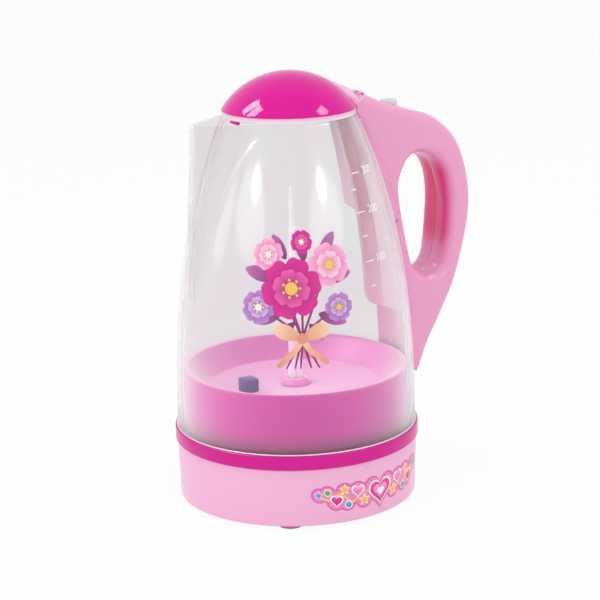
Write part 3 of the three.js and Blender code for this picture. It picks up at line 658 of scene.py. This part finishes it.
piece(spun([
    (0, guide["bottom"]), (guide["radius"], guide["bottom"]), (guide["radius"], guide["shoulder"]),
    (guide["tip"], guide["top"] - guide["roundFrom"]),
    (guide["tip"] * guide["roundShare"], guide["top"] - guide["roundTo"]), (0, guide["top"]),
], 48, closed=False), "guide_clear", "kettle_body", "guideClear", ["light_guide"])
collar = {"bore": 3.5, "radius": 7, "neck": 4.9, "low": 50.3, "high": 52.7, "edge": 0.4}
piece(softened(spun([
    (collar["bore"], collar["low"]), (collar["radius"], collar["low"]), (collar["neck"], collar["high"]),
    (collar["bore"], collar["high"]),
], 64), collar["edge"]), "collar_pink", "kettle_body", "drumPink", ["guide_collar"])
sensor = {"low": (-27.5, -3.5, 50.3), "high": (-20.5, 3.5, 56.5), "edge": 0.8}
piece(softened(block(sensor["low"], sensor["high"]), sensor["edge"]), "sensor_dark", "kettle_body",
      "darkPlastic", ["sensor_block"])
print("inside: drum, guide, collar and sensor built")

# Lid: dome, liner, tab and the fairing that runs back to the hinge
lid = {"radius": 29.5, "low": 174.3, "top": 190.5, "wall": 1.8, "edge": 0.35,
       "hingeX": 31.6, "hingeZ": 177.4, "knuckle": 2.0, "knuckleHalf": 6.0, "fairing": 17.0, "slope": 0.47,
       "settle": 0.006, "settleFrom": 10, "drop": 4.6, "half": 12.0, "skirt": 0.3, "backOff": 3.0, "webLength": 4.5,
       "webDepth": 1.2, "fairingEdge": 0.4, "play": 0.3, "lugStart": 6.35, "lugEnd": 9.0, "pin": 1.1}
lidRise = lid["top"] - lid["low"]
domeCurve = (lid["radius"] ** 2 + lidRise ** 2) / (2 * lidRise)


def domeArc(curve, reach, steps):
    start = math.asin(min(1, reach / curve))
    turns = [start * (1 - i / steps) for i in range(steps + 1)]
    centre = lid["top"] - domeCurve
    return [(curve * math.sin(turn), max(lid["low"], centre + curve * math.cos(turn))) for turn in turns]


domeInside = domeArc(domeCurve - lid["wall"], lid["radius"] - lid["wall"], 24)
dome = softened(spun(domeArc(domeCurve, lid["radius"], 40) + domeInside[::-1], 160), lid["edge"], 3, 40)
piece(dome, "lid_magenta_dome", "lid", "lidMagenta", ["lid_dome"])
liner = {"low": 171.8, "high": 174.25, "floor": 172.9, "flat": 20.6, "ring": 22.4, "inset": 0.3, "edge": 0.4}
linerEdge = lid["radius"] - liner["inset"]
piece(softened(spun([
    (0, liner["floor"]), (liner["flat"], liner["floor"]), (liner["ring"], liner["low"]),
    (linerEdge, liner["low"]), (linerEdge, liner["high"]), (0, liner["high"]),
], closed=False), liner["edge"]), "lid_liner_pale", "lid", "linerPink", ["lid_liner"])
tab = {"low": (-27.5, -3.5, 169.7), "high": (-25.9, 3.5, 171.5), "edge": 0.7}
piece(softened(block(tab["low"], tab["high"]), tab["edge"]), "lid_tab_magenta", "lid", "lidMagenta",
      ["lid_tab"])


def fairingSkin(u, v):
    x = lid["hingeX"] - lid["backOff"] - (lid["fairing"] - lid["backOff"]) * (1 - u)
    turn = math.tau * v
    across = math.sin(turn)
    along = lid["hingeX"] - x
    ridge = lid["hingeZ"] + lid["knuckle"] + along * lid["slope"]
    ridge -= lid["settle"] * max(0, along - lid["settleFrom"]) ** 2
    if math.cos(turn) >= 0:
        z = max(ridge - lid["drop"] * across ** 2, lid["low"] + lid["skirt"])
    else:
        z = lid["low"]
    return at(x, across * lid["half"], z)


fairing = capped(mappedGrid(24, 64, fairingSkin))
knuckle = rodAlongY(lid["knuckle"], -lid["knuckleHalf"], lid["knuckleHalf"], lid["hingeX"], lid["hingeZ"])
web = block((lid["hingeX"] - lid["webLength"], -lid["knuckleHalf"], lid["hingeZ"] - lid["webDepth"]),
            (lid["hingeX"], lid["knuckleHalf"], lid["hingeZ"] + lid["knuckle"]))
joinInto(joinInto(fairing, knuckle), web)
piece(softened(fairing, lid["fairingEdge"], 3, 50), "lid_fairing_pink", "lid", "palePink",
      ["lid_fairing"])
print("lid: dome, liner, tab and fairing built")

# Handle: one loop with rounded edges and a scooped grip, split on its middle plane
handle = {
    "outer": [(31.6, 179.0), (45.3, 172.7), (58.5, 168.4), (71.5, 163.2), (83.4, 149.7), (88, 124), (81.1, 92.2),
              (73.2, 74.4), (57.5, 48.5)],
    "hole": [(48.8, 132.8), (52.5, 108.8), (57.1, 97.5), (65.6, 93.3), (72.8, 99.9), (75.8, 124), (71.8, 141.3),
             (62.1, 148.3), (53.8, 145.5)],
    "middle": (62.5, 120.5), "half": 12.0, "seam": 0.05, "groove": 0.12, "edge": 4.4, "holeEdge": 5.6,
    "legEdge": 2.0, "deep": 1.5, "scoop": 0.4, "wallGap": 0.3, "lidRoom": 29.9, "lidRoomLow": 171.2,
    "lidRoomTop": 200, "tailEdge": 0.8, "tailFrom": 0.92, "wallEdge": 0.6, "fit": 0.6, "gripFrom": (-125, -60),
    "gripTo": (130, 75), "seamRow": 0.3, "outerSteps": 150, "wallSteps": 64, "topSteps": 6, "holeSteps": 720,
    "arcSteps": 9, "gripSteps": 8, "probe": 0.02,
}


def handleOutline():
    points = []  # x, z, edge radius, and the radius about the jug's axis where the jug's wall bounds it
    count = handle["outerSteps"]
    for i, p in enumerate(splinePoints(handle["outer"], count, False)):
        taper = smoothStep(1.0, handle["tailFrom"], i / count)
        points.append((p.x, p.y, handle["tailEdge"] + (handle["edge"] - handle["tailEdge"]) * taper, None))
    tailZ, topZ = handle["outer"][-1][1], handle["outer"][0][1]
    steps, topSteps = handle["wallSteps"], handle["topSteps"]
    levels = [tailZ + (rim - tailZ) * i / steps for i in range(1, steps + 1)]
    levels += [rim + (topZ - rim) * i / topSteps for i in range(1, topSteps)]
    for z in levels:
        points.append((None, z, handle["wallEdge"], bellRadius(z) + handle["wallGap"]))
    return points


def polarHole():
    made = []
    for p in splinePoints(handle["hole"], handle["holeSteps"], True):
        x, z = p.x - handle["middle"][0], p.y - handle["middle"][1]
        made.append((math.atan2(z, x), math.hypot(x, z)))
    return sorted(made)


holeTable = polarHole()


def holeAt(angle):
    angle = math.atan2(math.sin(angle), math.cos(angle))
    low = (holeTable[-1][0] - math.tau, holeTable[-1][1])
    for entry in holeTable + [(holeTable[0][0] + math.tau, holeTable[0][1])]:
        if entry[0] >= angle:
            t = (angle - low[0]) / max(entry[0] - low[0], 1e-9)
            radius = low[1] + (entry[1] - low[1]) * t
            break
        low = entry
    x, z = handle["middle"]
    return Vector((x + radius * math.cos(angle), z + radius * math.sin(angle)))


def handleHalf(side):
    outline = handleOutline()
    flat = [Vector((p[0] if p[3] is None else p[3], p[1])) for p in outline]
    count = len(flat)
    normals = []
    for i in range(count):
        before, after = (i - 1) if i else 0, (i + 1) % count
        if outline[i][3] is None and outline[after][3] is not None:
            after = i
        along = flat[after] - flat[before]
        normals.append(Vector((along.y, -along.x)).normalized() * -1)
    holes, holeNormals, gripShare = [], [], []
    for p in flat:
        away = p - Vector(handle["middle"])
        angle = math.atan2(away.y, away.x)
        holes.append(holeAt(angle))
        along = holeAt(angle + handle["probe"]) - holeAt(angle - handle["probe"])
        holeNormals.append(Vector((along.y, -along.x)).normalized())
        bearing = math.degrees(angle)
        gripShare.append(smoothStep(*handle["gripFrom"], bearing) * smoothStep(*handle["gripTo"], bearing))
    half, seam, arc = handle["half"], handle["seam"], handle["arcSteps"]
    edges = handle["edge"] + handle["holeEdge"]
    fit = [min(1, handle["fit"] * (p - q).length / edges) for p, q in zip(flat, holes)]
    outline = [(x, z, edge * share if wall is None else edge, wall)
               for (x, z, edge, wall), share in zip(outline, fit)]

    def outerAt(i, inset, y):
        x, z, edge, wall = outline[i]
        if wall is None:
            q = flat[i] - normals[i] * inset
            return at(q.x, side * y, q.y)
        return at(math.sqrt(max((wall + inset) ** 2 - y * y, 1)), side * y, min(z, topAt(y)))

    def topAt(y):
        deep = outerDeep(0)
        share = min(max((y - half + deep) / deep, 0), 1)
        return flat[0].y - outline[0][2] * (1 - math.sqrt(1 - share * share))

    def outerDeep(i):
        return outline[i][2] * (handle["deep"] if outline[i][3] is None else 1)

    def holeEdgeAt(i):
        return (handle["legEdge"] + (handle["holeEdge"] - handle["legEdge"]) * gripShare[i]) * fit[i]

    def holeDeep(i):
        return holeEdgeAt(i) * handle["deep"]

    def holePlace(i, inset, y):
        q = holes[i] + holeNormals[i] * inset
        return at(q.x, side * y, q.y)

    def scoopAt(i, y):
        return handle["scoop"] * gripShare[i] * math.cos(math.pi / 2 * min(1, y / (half - holeDeep(i)))) ** 2

    def gripPlace(i, share):
        y = (half - holeDeep(i)) * share
        return holePlace(i, scoopAt(i, y), max(seam + handle["groove"], y))

    first = seam + handle["seamRow"]
    rowMakers = [lambda i: outerAt(i, handle["groove"], seam), lambda i: outerAt(i, 0, seam + handle["groove"])]
    for k in (0.25, 0.5, 0.75):
        rowMakers.append(lambda i, k=k: outerAt(i, 0, first + (half - outerDeep(i) - first) * k))
    for k in range(arc + 1):
        turn = math.pi / 2 * k / arc
        rowMakers.append(lambda i, turn=turn: outerAt(
            i, outline[i][2] * (1 - math.cos(turn)), half - outerDeep(i) * (1 - math.sin(turn))))
    for k in (0.05, 0.35, 0.65, 0.95):
        rowMakers.append(lambda i, k=k: outerAt(i, outline[i][2], half).lerp(
            holePlace(i, holeEdgeAt(i), half), k))
    for k in range(arc, -1, -1):
        turn = math.pi / 2 * k / arc
        rowMakers.append(lambda i, turn=turn: holePlace(
            i, holeEdgeAt(i) * (1 - math.cos(turn)), half - holeDeep(i) * (1 - math.sin(turn))))
    for k in range(handle["gripSteps"] - 1, -1, -1):
        rowMakers.append(lambda i, k=k: gripPlace(i, k / handle["gripSteps"]))
    rowMakers.append(lambda i: holePlace(i, scoopAt(i, 0) + handle["groove"], seam))
    rowMakers.append(rowMakers[0])

    def place(u, v):
        return rowMakers[round(v * (len(rowMakers) - 1))](round(u * count) % count)
    return mappedGrid(count, len(rowMakers) - 1, place)


# Back flange: the curved sheet that holds the handle to the jug, wider above its shoulder
flange = {"low": 76.0, "high": 168.7, "shoulder": 122.0, "narrow": 21, "wide": 28, "thickness": 1.6, "lift": 0.3,
          "round": 5.0, "topRound": 1.5, "bandFrom": 8, "bandTo": 20, "recess": 0.9, "step": 1.5,
          "recessLow": (2, 3.5), "recessHigh": (1, 2.5), "room": 0.3, "roomBack": 4, "roomHalf": 50}


def flangeHalf(z):
    half = flange["narrow"] + (flange["wide"] - flange["narrow"]) * smoothStep(
        flange["shoulder"] - flange["step"], flange["shoulder"] + flange["step"], z)
    corner = flange["round"] if z < flange["shoulder"] else flange["topRound"]
    ends = corner - min(z - flange["low"], flange["high"] - z, corner)
    drop = corner - math.sqrt(max(corner ** 2 - ends ** 2, 0))
    return half - math.degrees(drop / bellRadius(z))


def flangeSkin(u, v):
    z = flange["low"] + (flange["high"] - flange["low"]) * u
    degrees = flangeHalf(z) * (1 - 4 * v if v < 0.5 else 4 * v - 3)
    inside = 0 < v < 0.5
    off = abs(degrees)
    ends = smoothStep(*flange["recessLow"], z - flange["low"]) * smoothStep(*flange["recessHigh"], flange["high"] - z)
    groove = smoothStep(flange["bandFrom"] - 1, flange["bandFrom"], off) * smoothStep(
        flange["bandTo"], flange["bandTo"] - 1, off) * ends
    lift = flange["lift"] + (flange["recess"] * groove if inside else flange["thickness"])
    return polar(bellRadius(z) + lift, degrees, z)


flangePiece = piece(capped(mappedGrid(94, 192, flangeSkin)), "flange_pink", "kettle_body", "handlePink",
                    ["back_flange"])
# The inner faces take flangeShade: the handle's pink painted paler as light and darker as shade
flangePiece.data.materials.append(finishes["flangeShade"])
for polygon in flangePiece.data.polygons:
    outward = polygon.center - at(0, 0, polygon.center.z / mm)
    if polygon.normal.dot(outward.normalized()) < -0.5:
        polygon.material_index = 1


def flangeRoom():
    def place(u, v):
        z = flange["low"] - flange["room"] + (flange["high"] - flange["low"] + 2 * flange["room"]) * u
        outside = flange["lift"] + flange["thickness"] + flange["room"]
        degrees = flange["roomHalf"] * (4 * v - 1 if v < 0.5 else 3 - 4 * v)
        return polar(bellRadius(z) + (outside if v < 0.5 else -flange["roomBack"]), degrees, z)
    return capped(mappedGrid(48, 49, place))


# Handle halves: carved for the flange, the lid, the button, the hinge and the screws
button = {"x": 51.3, "radius": 3.9, "top": 172.9, "low": 164.7, "round": 0.9, "room": 0.3, "roomLow": 150,
          "roomTop": 190}
screws = {"head": 2.6, "depth": 1.6, "shank": 1.3, "point": 0.4, "pointLength": 1.6,
          "dome": ((1, 0.7), (0.86, 0.25), (0.5, 0.05)), "steps": 40, "room": 0.3, "roomEnd": 14,
          "cross": 0.55, "crossReach": 1.7, "crossDepth": 0.9, "crossTaper": 0.55, "crossTurn": 20}
halves = ((-1, "handle_half_near", "handle_near_shell"), (1, "handle_half_far", "handle_far_shell"))
for side, name, stands in halves:
    shell = piece(handleHalf(side), name, "kettle_body", "handlePink", [stands], 50)
    cutAway(shell, flangeRoom())
    cutAway(shell, uprightRod(handle["lidRoom"], handle["lidRoomLow"], handle["lidRoomTop"], 0, 0, 160))
    lugLow, lugHigh = sorted((side * lid["lugStart"], side * lid["lugEnd"]))
    cutAway(shell, rodAlongY(lid["knuckle"] - lid["play"], lugLow, lugHigh, lid["hingeX"], lid["hingeZ"]), "UNION")
    hingeHalf = lid["knuckleHalf"] + lid["play"]
    cutAway(shell, rodAlongY(lid["knuckle"] + lid["play"], -hingeHalf, hingeHalf, lid["hingeX"], lid["hingeZ"]))
    cutAway(shell, uprightRod(button["radius"] + button["room"], button["roomLow"], button["roomTop"], button["x"]))
    if side > 0:
        for i in range(1, 4):
            low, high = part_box(f"handle_screw_{i}")
            seat = handle["half"] - screws["depth"] - screws["room"]
            cutAway(shell, rodAlongY(screws["head"] + screws["room"], seat, screws["roomEnd"],
                                     (low.x + high.x) / 2 / mm - axisX / mm, (low.z + high.z) / 2 / mm))
    even = shell.modifiers.new("evenShading", "WEIGHTED_NORMAL")
    even.keep_sharp = True
    print("handle:", name, len(shell.data.polygons), "faces")
pin = rodAlongY(lid["pin"], -lid["lugEnd"], lid["lugEnd"], lid["hingeX"], lid["hingeZ"])
piece(pin, "pin_steel", "kettle_body", "platedSteel", ["hinge_pin"])
cap = uprightRod(button["radius"], button["low"], button["top"], button["x"], 0, 64)
piece(softened(cap, button["round"], 4), "button_cap", "button", "buttonGrey", ["push_button"])


# Screws: domed heads with a cross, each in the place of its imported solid
def crossScrew(name, node, face):
    low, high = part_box(node)
    centre = (low + high) / 2
    along = 1 if face.y else 2
    length = (high - low)[along] / mm
    head, depth, shank = screws["head"], screws["depth"], screws["shank"]
    bm = bmesh.new()
    profile = [(0, 0), (shank * screws["point"], 0), (shank, screws["pointLength"]), (shank, length - depth),
               (head, length - depth)]
    profile += [(head * share, length - drop) for share, drop in screws["dome"]] + [(0, length)]
    verts = [bm.verts.new(Vector((r * mm, 0, (h - length / 2) * mm))) for r, h in profile]
    edges = [bm.edges.new(pair) for pair in zip(verts, verts[1:])]
    bmesh.ops.spin(bm, geom=verts + edges, cent=(0, 0, 0), axis=(0, 0, 1), angle=math.tau, steps=screws["steps"],
                   use_merge=True, use_duplicate=False)
    bmesh.ops.remove_doubles(bm, verts=bm.verts, dist=1e-7)
    bmesh.ops.recalc_face_normals(bm, faces=bm.faces)
    turn = Vector((0, 0, 1)).rotation_difference(face)
    made = piece(bm, name, "kettle_body", "platedSteel", [node], 35)
    for across in (0, 90):
        bar = bmesh.new()
        bmesh.ops.create_cube(bar, size=1)
        for vert in bar.verts:
            reach = 2 * screws["crossReach"] * (screws["crossTaper"] if vert.co.z < 0 else 1)
            vert.co = Vector((vert.co.x * reach * mm, vert.co.y * screws["cross"] * mm,
                              (length / 2 + vert.co.z * 2 * screws["crossDepth"]) * mm))
        crossTurn = Quaternion((0, 0, 1), math.radians(across + screws["crossTurn"]))
        bmesh.ops.rotate(bar, verts=bar.verts, cent=(0, 0, 0), matrix=crossTurn.to_matrix())
        cutAway(made, bar, angle=35)
    made.data.transform(turn.to_matrix().to_4x4())
    for vert in made.data.vertices:
        vert.co += centre


for i in range(1, 4):
    crossScrew(f"handle_cross_{i}", f"handle_screw_{i}", Vector((0, 1, 0)))
    crossScrew(f"base_cross_{i}", f"base_screw_{i}", Vector((0, 0, -1)))
crossScrew("door_cross", "battery_door_screw", Vector((0, 0, -1)))
print("screws: 7 built")


# Prints: shapes laid on a curved wall, painted from their root to their tip
def newPrint():
    bm = bmesh.new()
    return bm, bm.verts.layers.float_color.new("tint")


def blended(first, last, t):
    return tuple(a + (b - a) * t for a, b in zip(first, last))


def printShape(target, wall, centre, turn, outline, colours, lift, columns=40, rings=4):
    bm, tint = target
    made = bmesh.ops.create_grid(bm, x_segments=columns, y_segments=rings, size=1)["verts"]
    across, up = math.cos(math.radians(turn)), math.sin(math.radians(turn))
    reach = max(outline(i * math.tau / columns)[0] for i in range(columns))
    middle = sum(outline(i * math.tau / columns)[0] for i in range(columns)) / columns
    for vert in made:
        angle, share = (vert.co.x + 1) * math.pi, (vert.co.y + 1) / 2
        edge = outline(angle)
        a, b = middle + (edge[0] - middle) * share, edge[1] * share
        vert.co = wall(centre[0] + a * across - b * up, centre[1] + a * up + b * across, lift)
        vert[tint] = blended(colours[0], colours[1], min(max(a / reach, 0), 1))


def printStrip(target, wall, points, width, colours, lift, columns=28):
    bm, tint = target
    path = splinePoints(points, columns, False)
    for vert in bmesh.ops.create_grid(bm, x_segments=columns, y_segments=1, size=1)["verts"]:
        k = round((vert.co.x + 1) / 2 * columns)
        along = (path[min(k + 1, columns)] - path[max(k - 1, 0)]).normalized()
        half = width * vert.co.y / 2 * (1 - 0.5 * abs(2 * k / columns - 1) ** 4)
        spot = path[k] + Vector((-along.y, along.x)) * half
        vert.co = wall(spot.x, spot.y, lift)
        vert[tint] = blended(colours[0], colours[1], k / columns)


def petal(length, width, notch=0.0):
    def outline(angle):
        tip = (1 + math.cos(angle)) / 2
        off = math.atan2(math.sin(angle), math.cos(angle))
        long = length * tip - notch * math.exp(-(off / 0.35) ** 2)
        return long, width / 2 * math.sin(angle) * (0.5 + 0.65 * tip)
    return outline


def leaf(length, width):
    def outline(angle):
        swell = math.sin(angle)
        return length * (1 + math.cos(angle)) / 2, width / 2 * math.copysign(abs(swell) ** 1.5, swell)
    return outline


def disc(radius):
    return lambda angle: (radius * math.cos(angle), radius * math.sin(angle))


def heart(size):
    def outline(angle):
        x = 16 * math.sin(angle) ** 3
        y = 13 * math.cos(angle) - 5 * math.cos(2 * angle) - 2 * math.cos(3 * angle) - math.cos(4 * angle)
        return size * (y + 2) / 30, -size * x / 30
    return outline


def star(radius):
    def outline(angle):
        step = angle / (math.pi / 5)
        corner = int(step) % 10
        ends = []
        for k in (corner, corner + 1):
            reach = radius * (1.0 if k % 2 == 0 else 0.48)
            ends.append(Vector((reach * math.cos(k * math.pi / 5), reach * math.sin(k * math.pi / 5))))
        spot = ends[0].lerp(ends[1], step - int(step))
        return spot.x, spot.y
    return outline


# Blossoms: two rings of petals, an eye and a ring of dots, as shares of the radius, with lifts in mm
flower = {"inner": 0.62, "plump": 5.2, "notch": 0.08, "overlap": 0.012, "layer": 0.08, "eye": 0.2, "eyeLift": 0.2,
          "dots": 7, "dotRing": 0.27, "dot": 0.045}


def blossom(target, wall, centre, radius, petals, turn, colours, eye, lift):
    for ring, (share, ringTurn) in enumerate(((1.0, 0), (flower["inner"], 180 / petals))):
        size = radius * share
        shape = petal(size, size * flower["plump"] / petals, size * flower["notch"])
        for k in range(petals):
            printShape(target, wall, centre, turn + ringTurn + 360 * k / petals, shape, (colours[0], colours[1 + ring]),
                       lift + flower["overlap"] * k + flower["layer"] * ring, 32, 3)
    printShape(target, wall, centre, 0, disc(radius * flower["eye"]), (eye, eye), lift + flower["eyeLift"], 24, 2)
    for k in range(flower["dots"]):
        around, reach = math.tau * k / flower["dots"], radius * flower["dotRing"]
        spot = (centre[0] + reach * math.cos(around), centre[1] + reach * math.sin(around))
        printShape(target, wall, spot, 0, disc(radius * flower["dot"]), (eye, eye), lift + flower["eyeLift"], 12, 1)


printBack, printThick = ink(252, 240, 247), 0.03  # prints are pale underneath, seen from inside the jug


def finishPrint(target, name):
    bm, tint = target
    bmesh.ops.remove_doubles(bm, verts=bm.verts, dist=1e-7)
    bmesh.ops.dissolve_degenerate(bm, edges=bm.edges, dist=1e-8)
    bm.normal_update()
    for face in bm.faces:
        if face.normal.dot(face.calc_center_median() - jugMiddle) < 0:
            face.normal_flip()
    front = set(bm.verts)
    bmesh.ops.solidify(bm, geom=bm.faces[:], thickness=printThick * mm)
    for vert in bm.verts:
        if vert not in front:
            vert[tint] = printBack
    return piece(bm, name, "kettle_body", "printInk")


# Posy on the jug, tied with a bow
posy = {"bearing": 62.5, "height": 101, "lift": 0.1,
        "magenta": (ink(150, 16, 104), ink(222, 40, 150), ink(240, 96, 178)),
        "pink": (ink(214, 70, 150), ink(250, 176, 214), ink(255, 214, 232)),
        "lilac": (ink(112, 56, 140), ink(196, 140, 208), ink(226, 186, 232)),
        "leaf": (ink(120, 40, 110), ink(190, 104, 176)), "stem": (ink(170, 60, 130), ink(140, 40, 110)),
        "ribbon": (ink(226, 150, 118), ink(250, 208, 178)), "knot": (ink(226, 150, 118), ink(226, 150, 118)),
        "gold": ink(240, 196, 92), "cream": ink(255, 236, 214)}


def posyWall(s, t, lift):
    return onJug(posy["bearing"] + math.degrees(s / bellRadius(posy["height"])), posy["height"] + t, lift)


posyPrint = newPrint()
for top, bend in (((-4, 10), -3), ((13, 15), 3), ((-16, -1), -6), ((17, -2), 6), ((2, 24), 1), ((-12, 19), -3)):
    stem = [top, (top[0] * 0.5 + bend * 0.4, top[1] * 0.5 - 6), (1.0 + bend * 0.15, -15), (1.0 - bend * 1.1, -29)]
    printStrip(posyPrint, posyWall, stem, 1.0, posy["stem"], posy["lift"])
for spot, turn, length in (((-7, -5), 200, 13), ((8, -6), -22, 13), ((-9, 9), 165, 15), ((9, 8), 8, 15),
                           ((3, 16), 100, 13), ((-5, 17), 122, 12), ((10, 18), 50, 12), ((-2, -9), 228, 9),
                           ((4, -10), -52, 9)):
    printShape(posyPrint, posyWall, spot, turn, leaf(length, length * 0.42), posy["leaf"], posy["lift"] + 0.06)
for spot, radius, petals, turn, colour, eye, rise in (
        ((-3, 5), 13.5, 6, 12, "magenta", "gold", 0.34), ((14, 14), 9.5, 5, 40, "pink", "gold", 0.14),
        ((-17, -3), 7.5, 5, 70, "lilac", "cream", 0.14), ((17, -4), 6.5, 6, 0, "lilac", "gold", 0.14),
        ((-13, 19), 7.0, 5, 20, "pink", "cream", 0.14), ((2, 24), 5.2, 5, 55, "magenta", "cream", 0.14)):
    blossom(posyPrint, posyWall, spot, radius, petals, turn, posy[colour], posy[eye], posy["lift"] + rise)
bow = (1, -16)
for turn in (158, 22):
    printShape(posyPrint, posyWall, bow, turn, petal(12, 7.5), posy["ribbon"], posy["lift"] + 0.62)
for middle, end in (((-2, -21), (-9, -28)), ((4, -21), (11, -27))):
    printStrip(posyPrint, posyWall, [bow, middle, end], 2.6, posy["ribbon"][::-1], posy["lift"] + 0.56)
printShape(posyPrint, posyWall, bow, 0, disc(2.3), posy["knot"], posy["lift"] + 0.68)
finishPrint(posyPrint, "posy_print")

# Sticker on the base: hearts, stars and dots on a wavy line
sticker = {"bearing": 281.5, "height": 12.4, "tilt": 0.03, "bow": 0.0035, "size": 0.92, "backLift": 0.08, "lift": 0.18,
           "magenta": (ink(214, 30, 140), ink(236, 70, 168)),
           "white": (ink(255, 250, 252), ink(255, 250, 252)), "pink": (ink(244, 120, 184), ink(250, 170, 208)),
           "yellow": (ink(246, 190, 40), ink(255, 224, 90)), "blue": (ink(62, 150, 214), ink(120, 196, 236)),
           "green": (ink(96, 176, 92), ink(150, 206, 120)), "edge": (ink(226, 96, 168), ink(226, 96, 168)),
           "back": (ink(238, 138, 192), ink(238, 138, 192))}


def stickerWall(s, t, lift):
    s, t = s * sticker["size"], t * sticker["size"]
    z = sticker["height"] + t + s * sticker["tilt"] + s * s * sticker["bow"]
    radius = base["radius"] - base["draft"] * (base["top"] - z) / (base["top"] - base["bottom"]) + lift
    return polar(radius, sticker["bearing"] + math.degrees(s / base["radius"]), z)


stickerPrint = newPrint()
for rise, extra, colour in ((0, 0.9, "edge"), (0.05, 0, "back")):
    lift = sticker["backLift"] + rise
    for side in (-1, 1):
        spine = [(side * s, t) for s, t in ((2, 0), (10, 0.6), (17, 0), (25, 0.6), (33, 0.4))]
        printStrip(stickerPrint, stickerWall, spine, 5.6 + 2 * extra, sticker[colour], lift)
        for s, t, size in ((9.5, -1.4, 4.0), (13, 2.4, 4.4), (18.5, -2.2, 3.6), (20, 2.8, 3.7), (24.2, -1.4, 4.2),
                           (28.4, 1.8, 3.2), (32.6, 0.6, 2.9)):
            printShape(stickerPrint, stickerWall, (side * s, t), 0, disc(size + extra), sticker[colour], lift)
    printShape(stickerPrint, stickerWall, (0, 0), 90, heart(16.5 + 2 * extra), sticker[colour], lift)
for side in (-1, 1):
    wave = [(side * s, t) for s, t in ((5, 0), (10, 2.4), (16, -2.2), (22, 2.0), (28, -1.4), (33, 0.8))]
    printStrip(stickerPrint, stickerWall, wave, 0.9, sticker["yellow"], sticker["lift"])
    for s, t, size, kind, colour in ((9.5, -2.0, 2.6, star, "yellow"), (13, 2.6, 5.2, heart, "pink"),
                                     (18, -3.4, 1.5, disc, "blue"), (20, 4.0, 2.3, star, "yellow"),
                                     (24, -1.8, 5.0, heart, "magenta"), (28.5, 2.4, 1.4, disc, "green"),
                                     (32.8, 0.8, 1.8, star, "blue")):
        for share, shades, rise in ((1.3, "white", 0.06), (1, colour, 0.12)):
            printShape(stickerPrint, stickerWall, (side * s, t), 90, kind(size * share), sticker[shades],
                       sticker["lift"] + rise)
for size, colour, rise in ((13.5, "white", 0.18), (11.8, "magenta", 0.24), (8.0, "pink", 0.3), (4.2, "white", 0.36)):
    printShape(stickerPrint, stickerWall, (0, 0), 90, heart(size), sticker[colour], sticker["lift"] + rise)
finishPrint(stickerPrint, "base_sticker")

# Water scale: ticks and plain numbers
scale = {"lift": 0.08, "ink": ink(250, 246, 250), "digits": 4.6, "thick": 0.5,
         "ticks": [(106.5, 150, 5), (102, 143.5, 3), (103.5, 134, 5), (103.5, 124, 3), (104, 113.5, 5),
                   (104.5, 103, 3)],
         "numbers": [(119, 150.2, "300"), (114.5, 134.4, "200"), (113, 113.9, "100")]}


def scaleWall(bearing, z):
    radius = bellRadius(z)
    return lambda s, t, lift: onJug(bearing + math.degrees(s / radius), z + t, lift)


scalePrint = newPrint()
for bearing, z, length in scale["ticks"]:
    printStrip(scalePrint, scaleWall(bearing, z), [(-length / 2, 0), (0, 0), (length / 2, 0)], scale["thick"],
               (scale["ink"], scale["ink"]), scale["lift"], 8)
for bearing, z, text in scale["numbers"]:
    digits = bpy.data.curves.new("digits", "FONT")
    digits.body, digits.size, digits.align_x, digits.align_y = text, scale["digits"], "CENTER", "CENTER"
    digitsObject = bpy.data.objects.new("digits", digits)
    scene.collection.objects.link(digitsObject)
    bpy.context.view_layer.update()
    flat = bpy.data.meshes.new_from_object(digitsObject.evaluated_get(bpy.context.evaluated_depsgraph_get()))
    bpy.data.objects.remove(digitsObject)
    bpy.data.curves.remove(digits)
    wall = scaleWall(bearing, z)
    for vert in flat.vertices:
        vert.co = wall(vert.co.x, vert.co.y, scale["lift"])
    known = set(scalePrint[0].verts)
    scalePrint[0].from_mesh(flat)
    tint = scalePrint[0].verts.layers.float_color["tint"]
    for vert in scalePrint[0].verts:
        if vert not in known:
            vert[tint] = scale["ink"]
    scalePrint = (scalePrint[0], tint)
    bpy.data.meshes.remove(flat)
finishPrint(scalePrint, "water_scale")
print("prints: posy, sticker and water scale laid")

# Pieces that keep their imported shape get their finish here
kept = {
    "platedSteel": ["contact_bridge", "contact_positive", "contact_negative"],
    "cellSkin": ["battery_cell_1", "battery_cell_2"],
    "darkPlastic": ["speaker", "switch_body"],
    "boardGreen": ["circuit_board", "switch_board"],
    "guideClear": ["lamp"],
}
for finish, names in kept.items():
    for name in names:
        nodes[name].data.materials.clear()
        nodes[name].data.materials.append(finishes[finish])

# Pale floor that keeps the kettle's shadow
floorLook = {"size": 4, "colour": (0.92, 0.92, 0.92, 1), "roughness": 0.9, "glow": 0.93}
floorMesh = bpy.data.meshes.new("floor")
bm = bmesh.new()
bmesh.ops.create_grid(bm, x_segments=2, y_segments=2, size=floorLook["size"])
bm.to_mesh(floorMesh)
bm.free()
floor = bpy.data.objects.new("floor", floorMesh)
scene.collection.objects.link(floor)
material, tree, shader = bareMaterial("paleFloor")
setInputs(shader, {"Base Color": floorLook["colour"], "Roughness": floorLook["roughness"]})
glow = tree.nodes.new("ShaderNodeEmission")
glow.inputs["Color"].default_value = (1, 1, 1, 1)
mix = tree.nodes.new("ShaderNodeMixShader")
tree.links.new(mathNode(tree, "MULTIPLY", backdropRays(tree), floorLook["glow"]), mix.inputs["Fac"])
tree.links.new(shader.outputs[0], mix.inputs[1])
tree.links.new(glow.outputs[0], mix.inputs[2])
tree.links.new(mix.outputs[0], tree.nodes["Material Output"].inputs["Surface"])
floorMesh.materials.append(material)
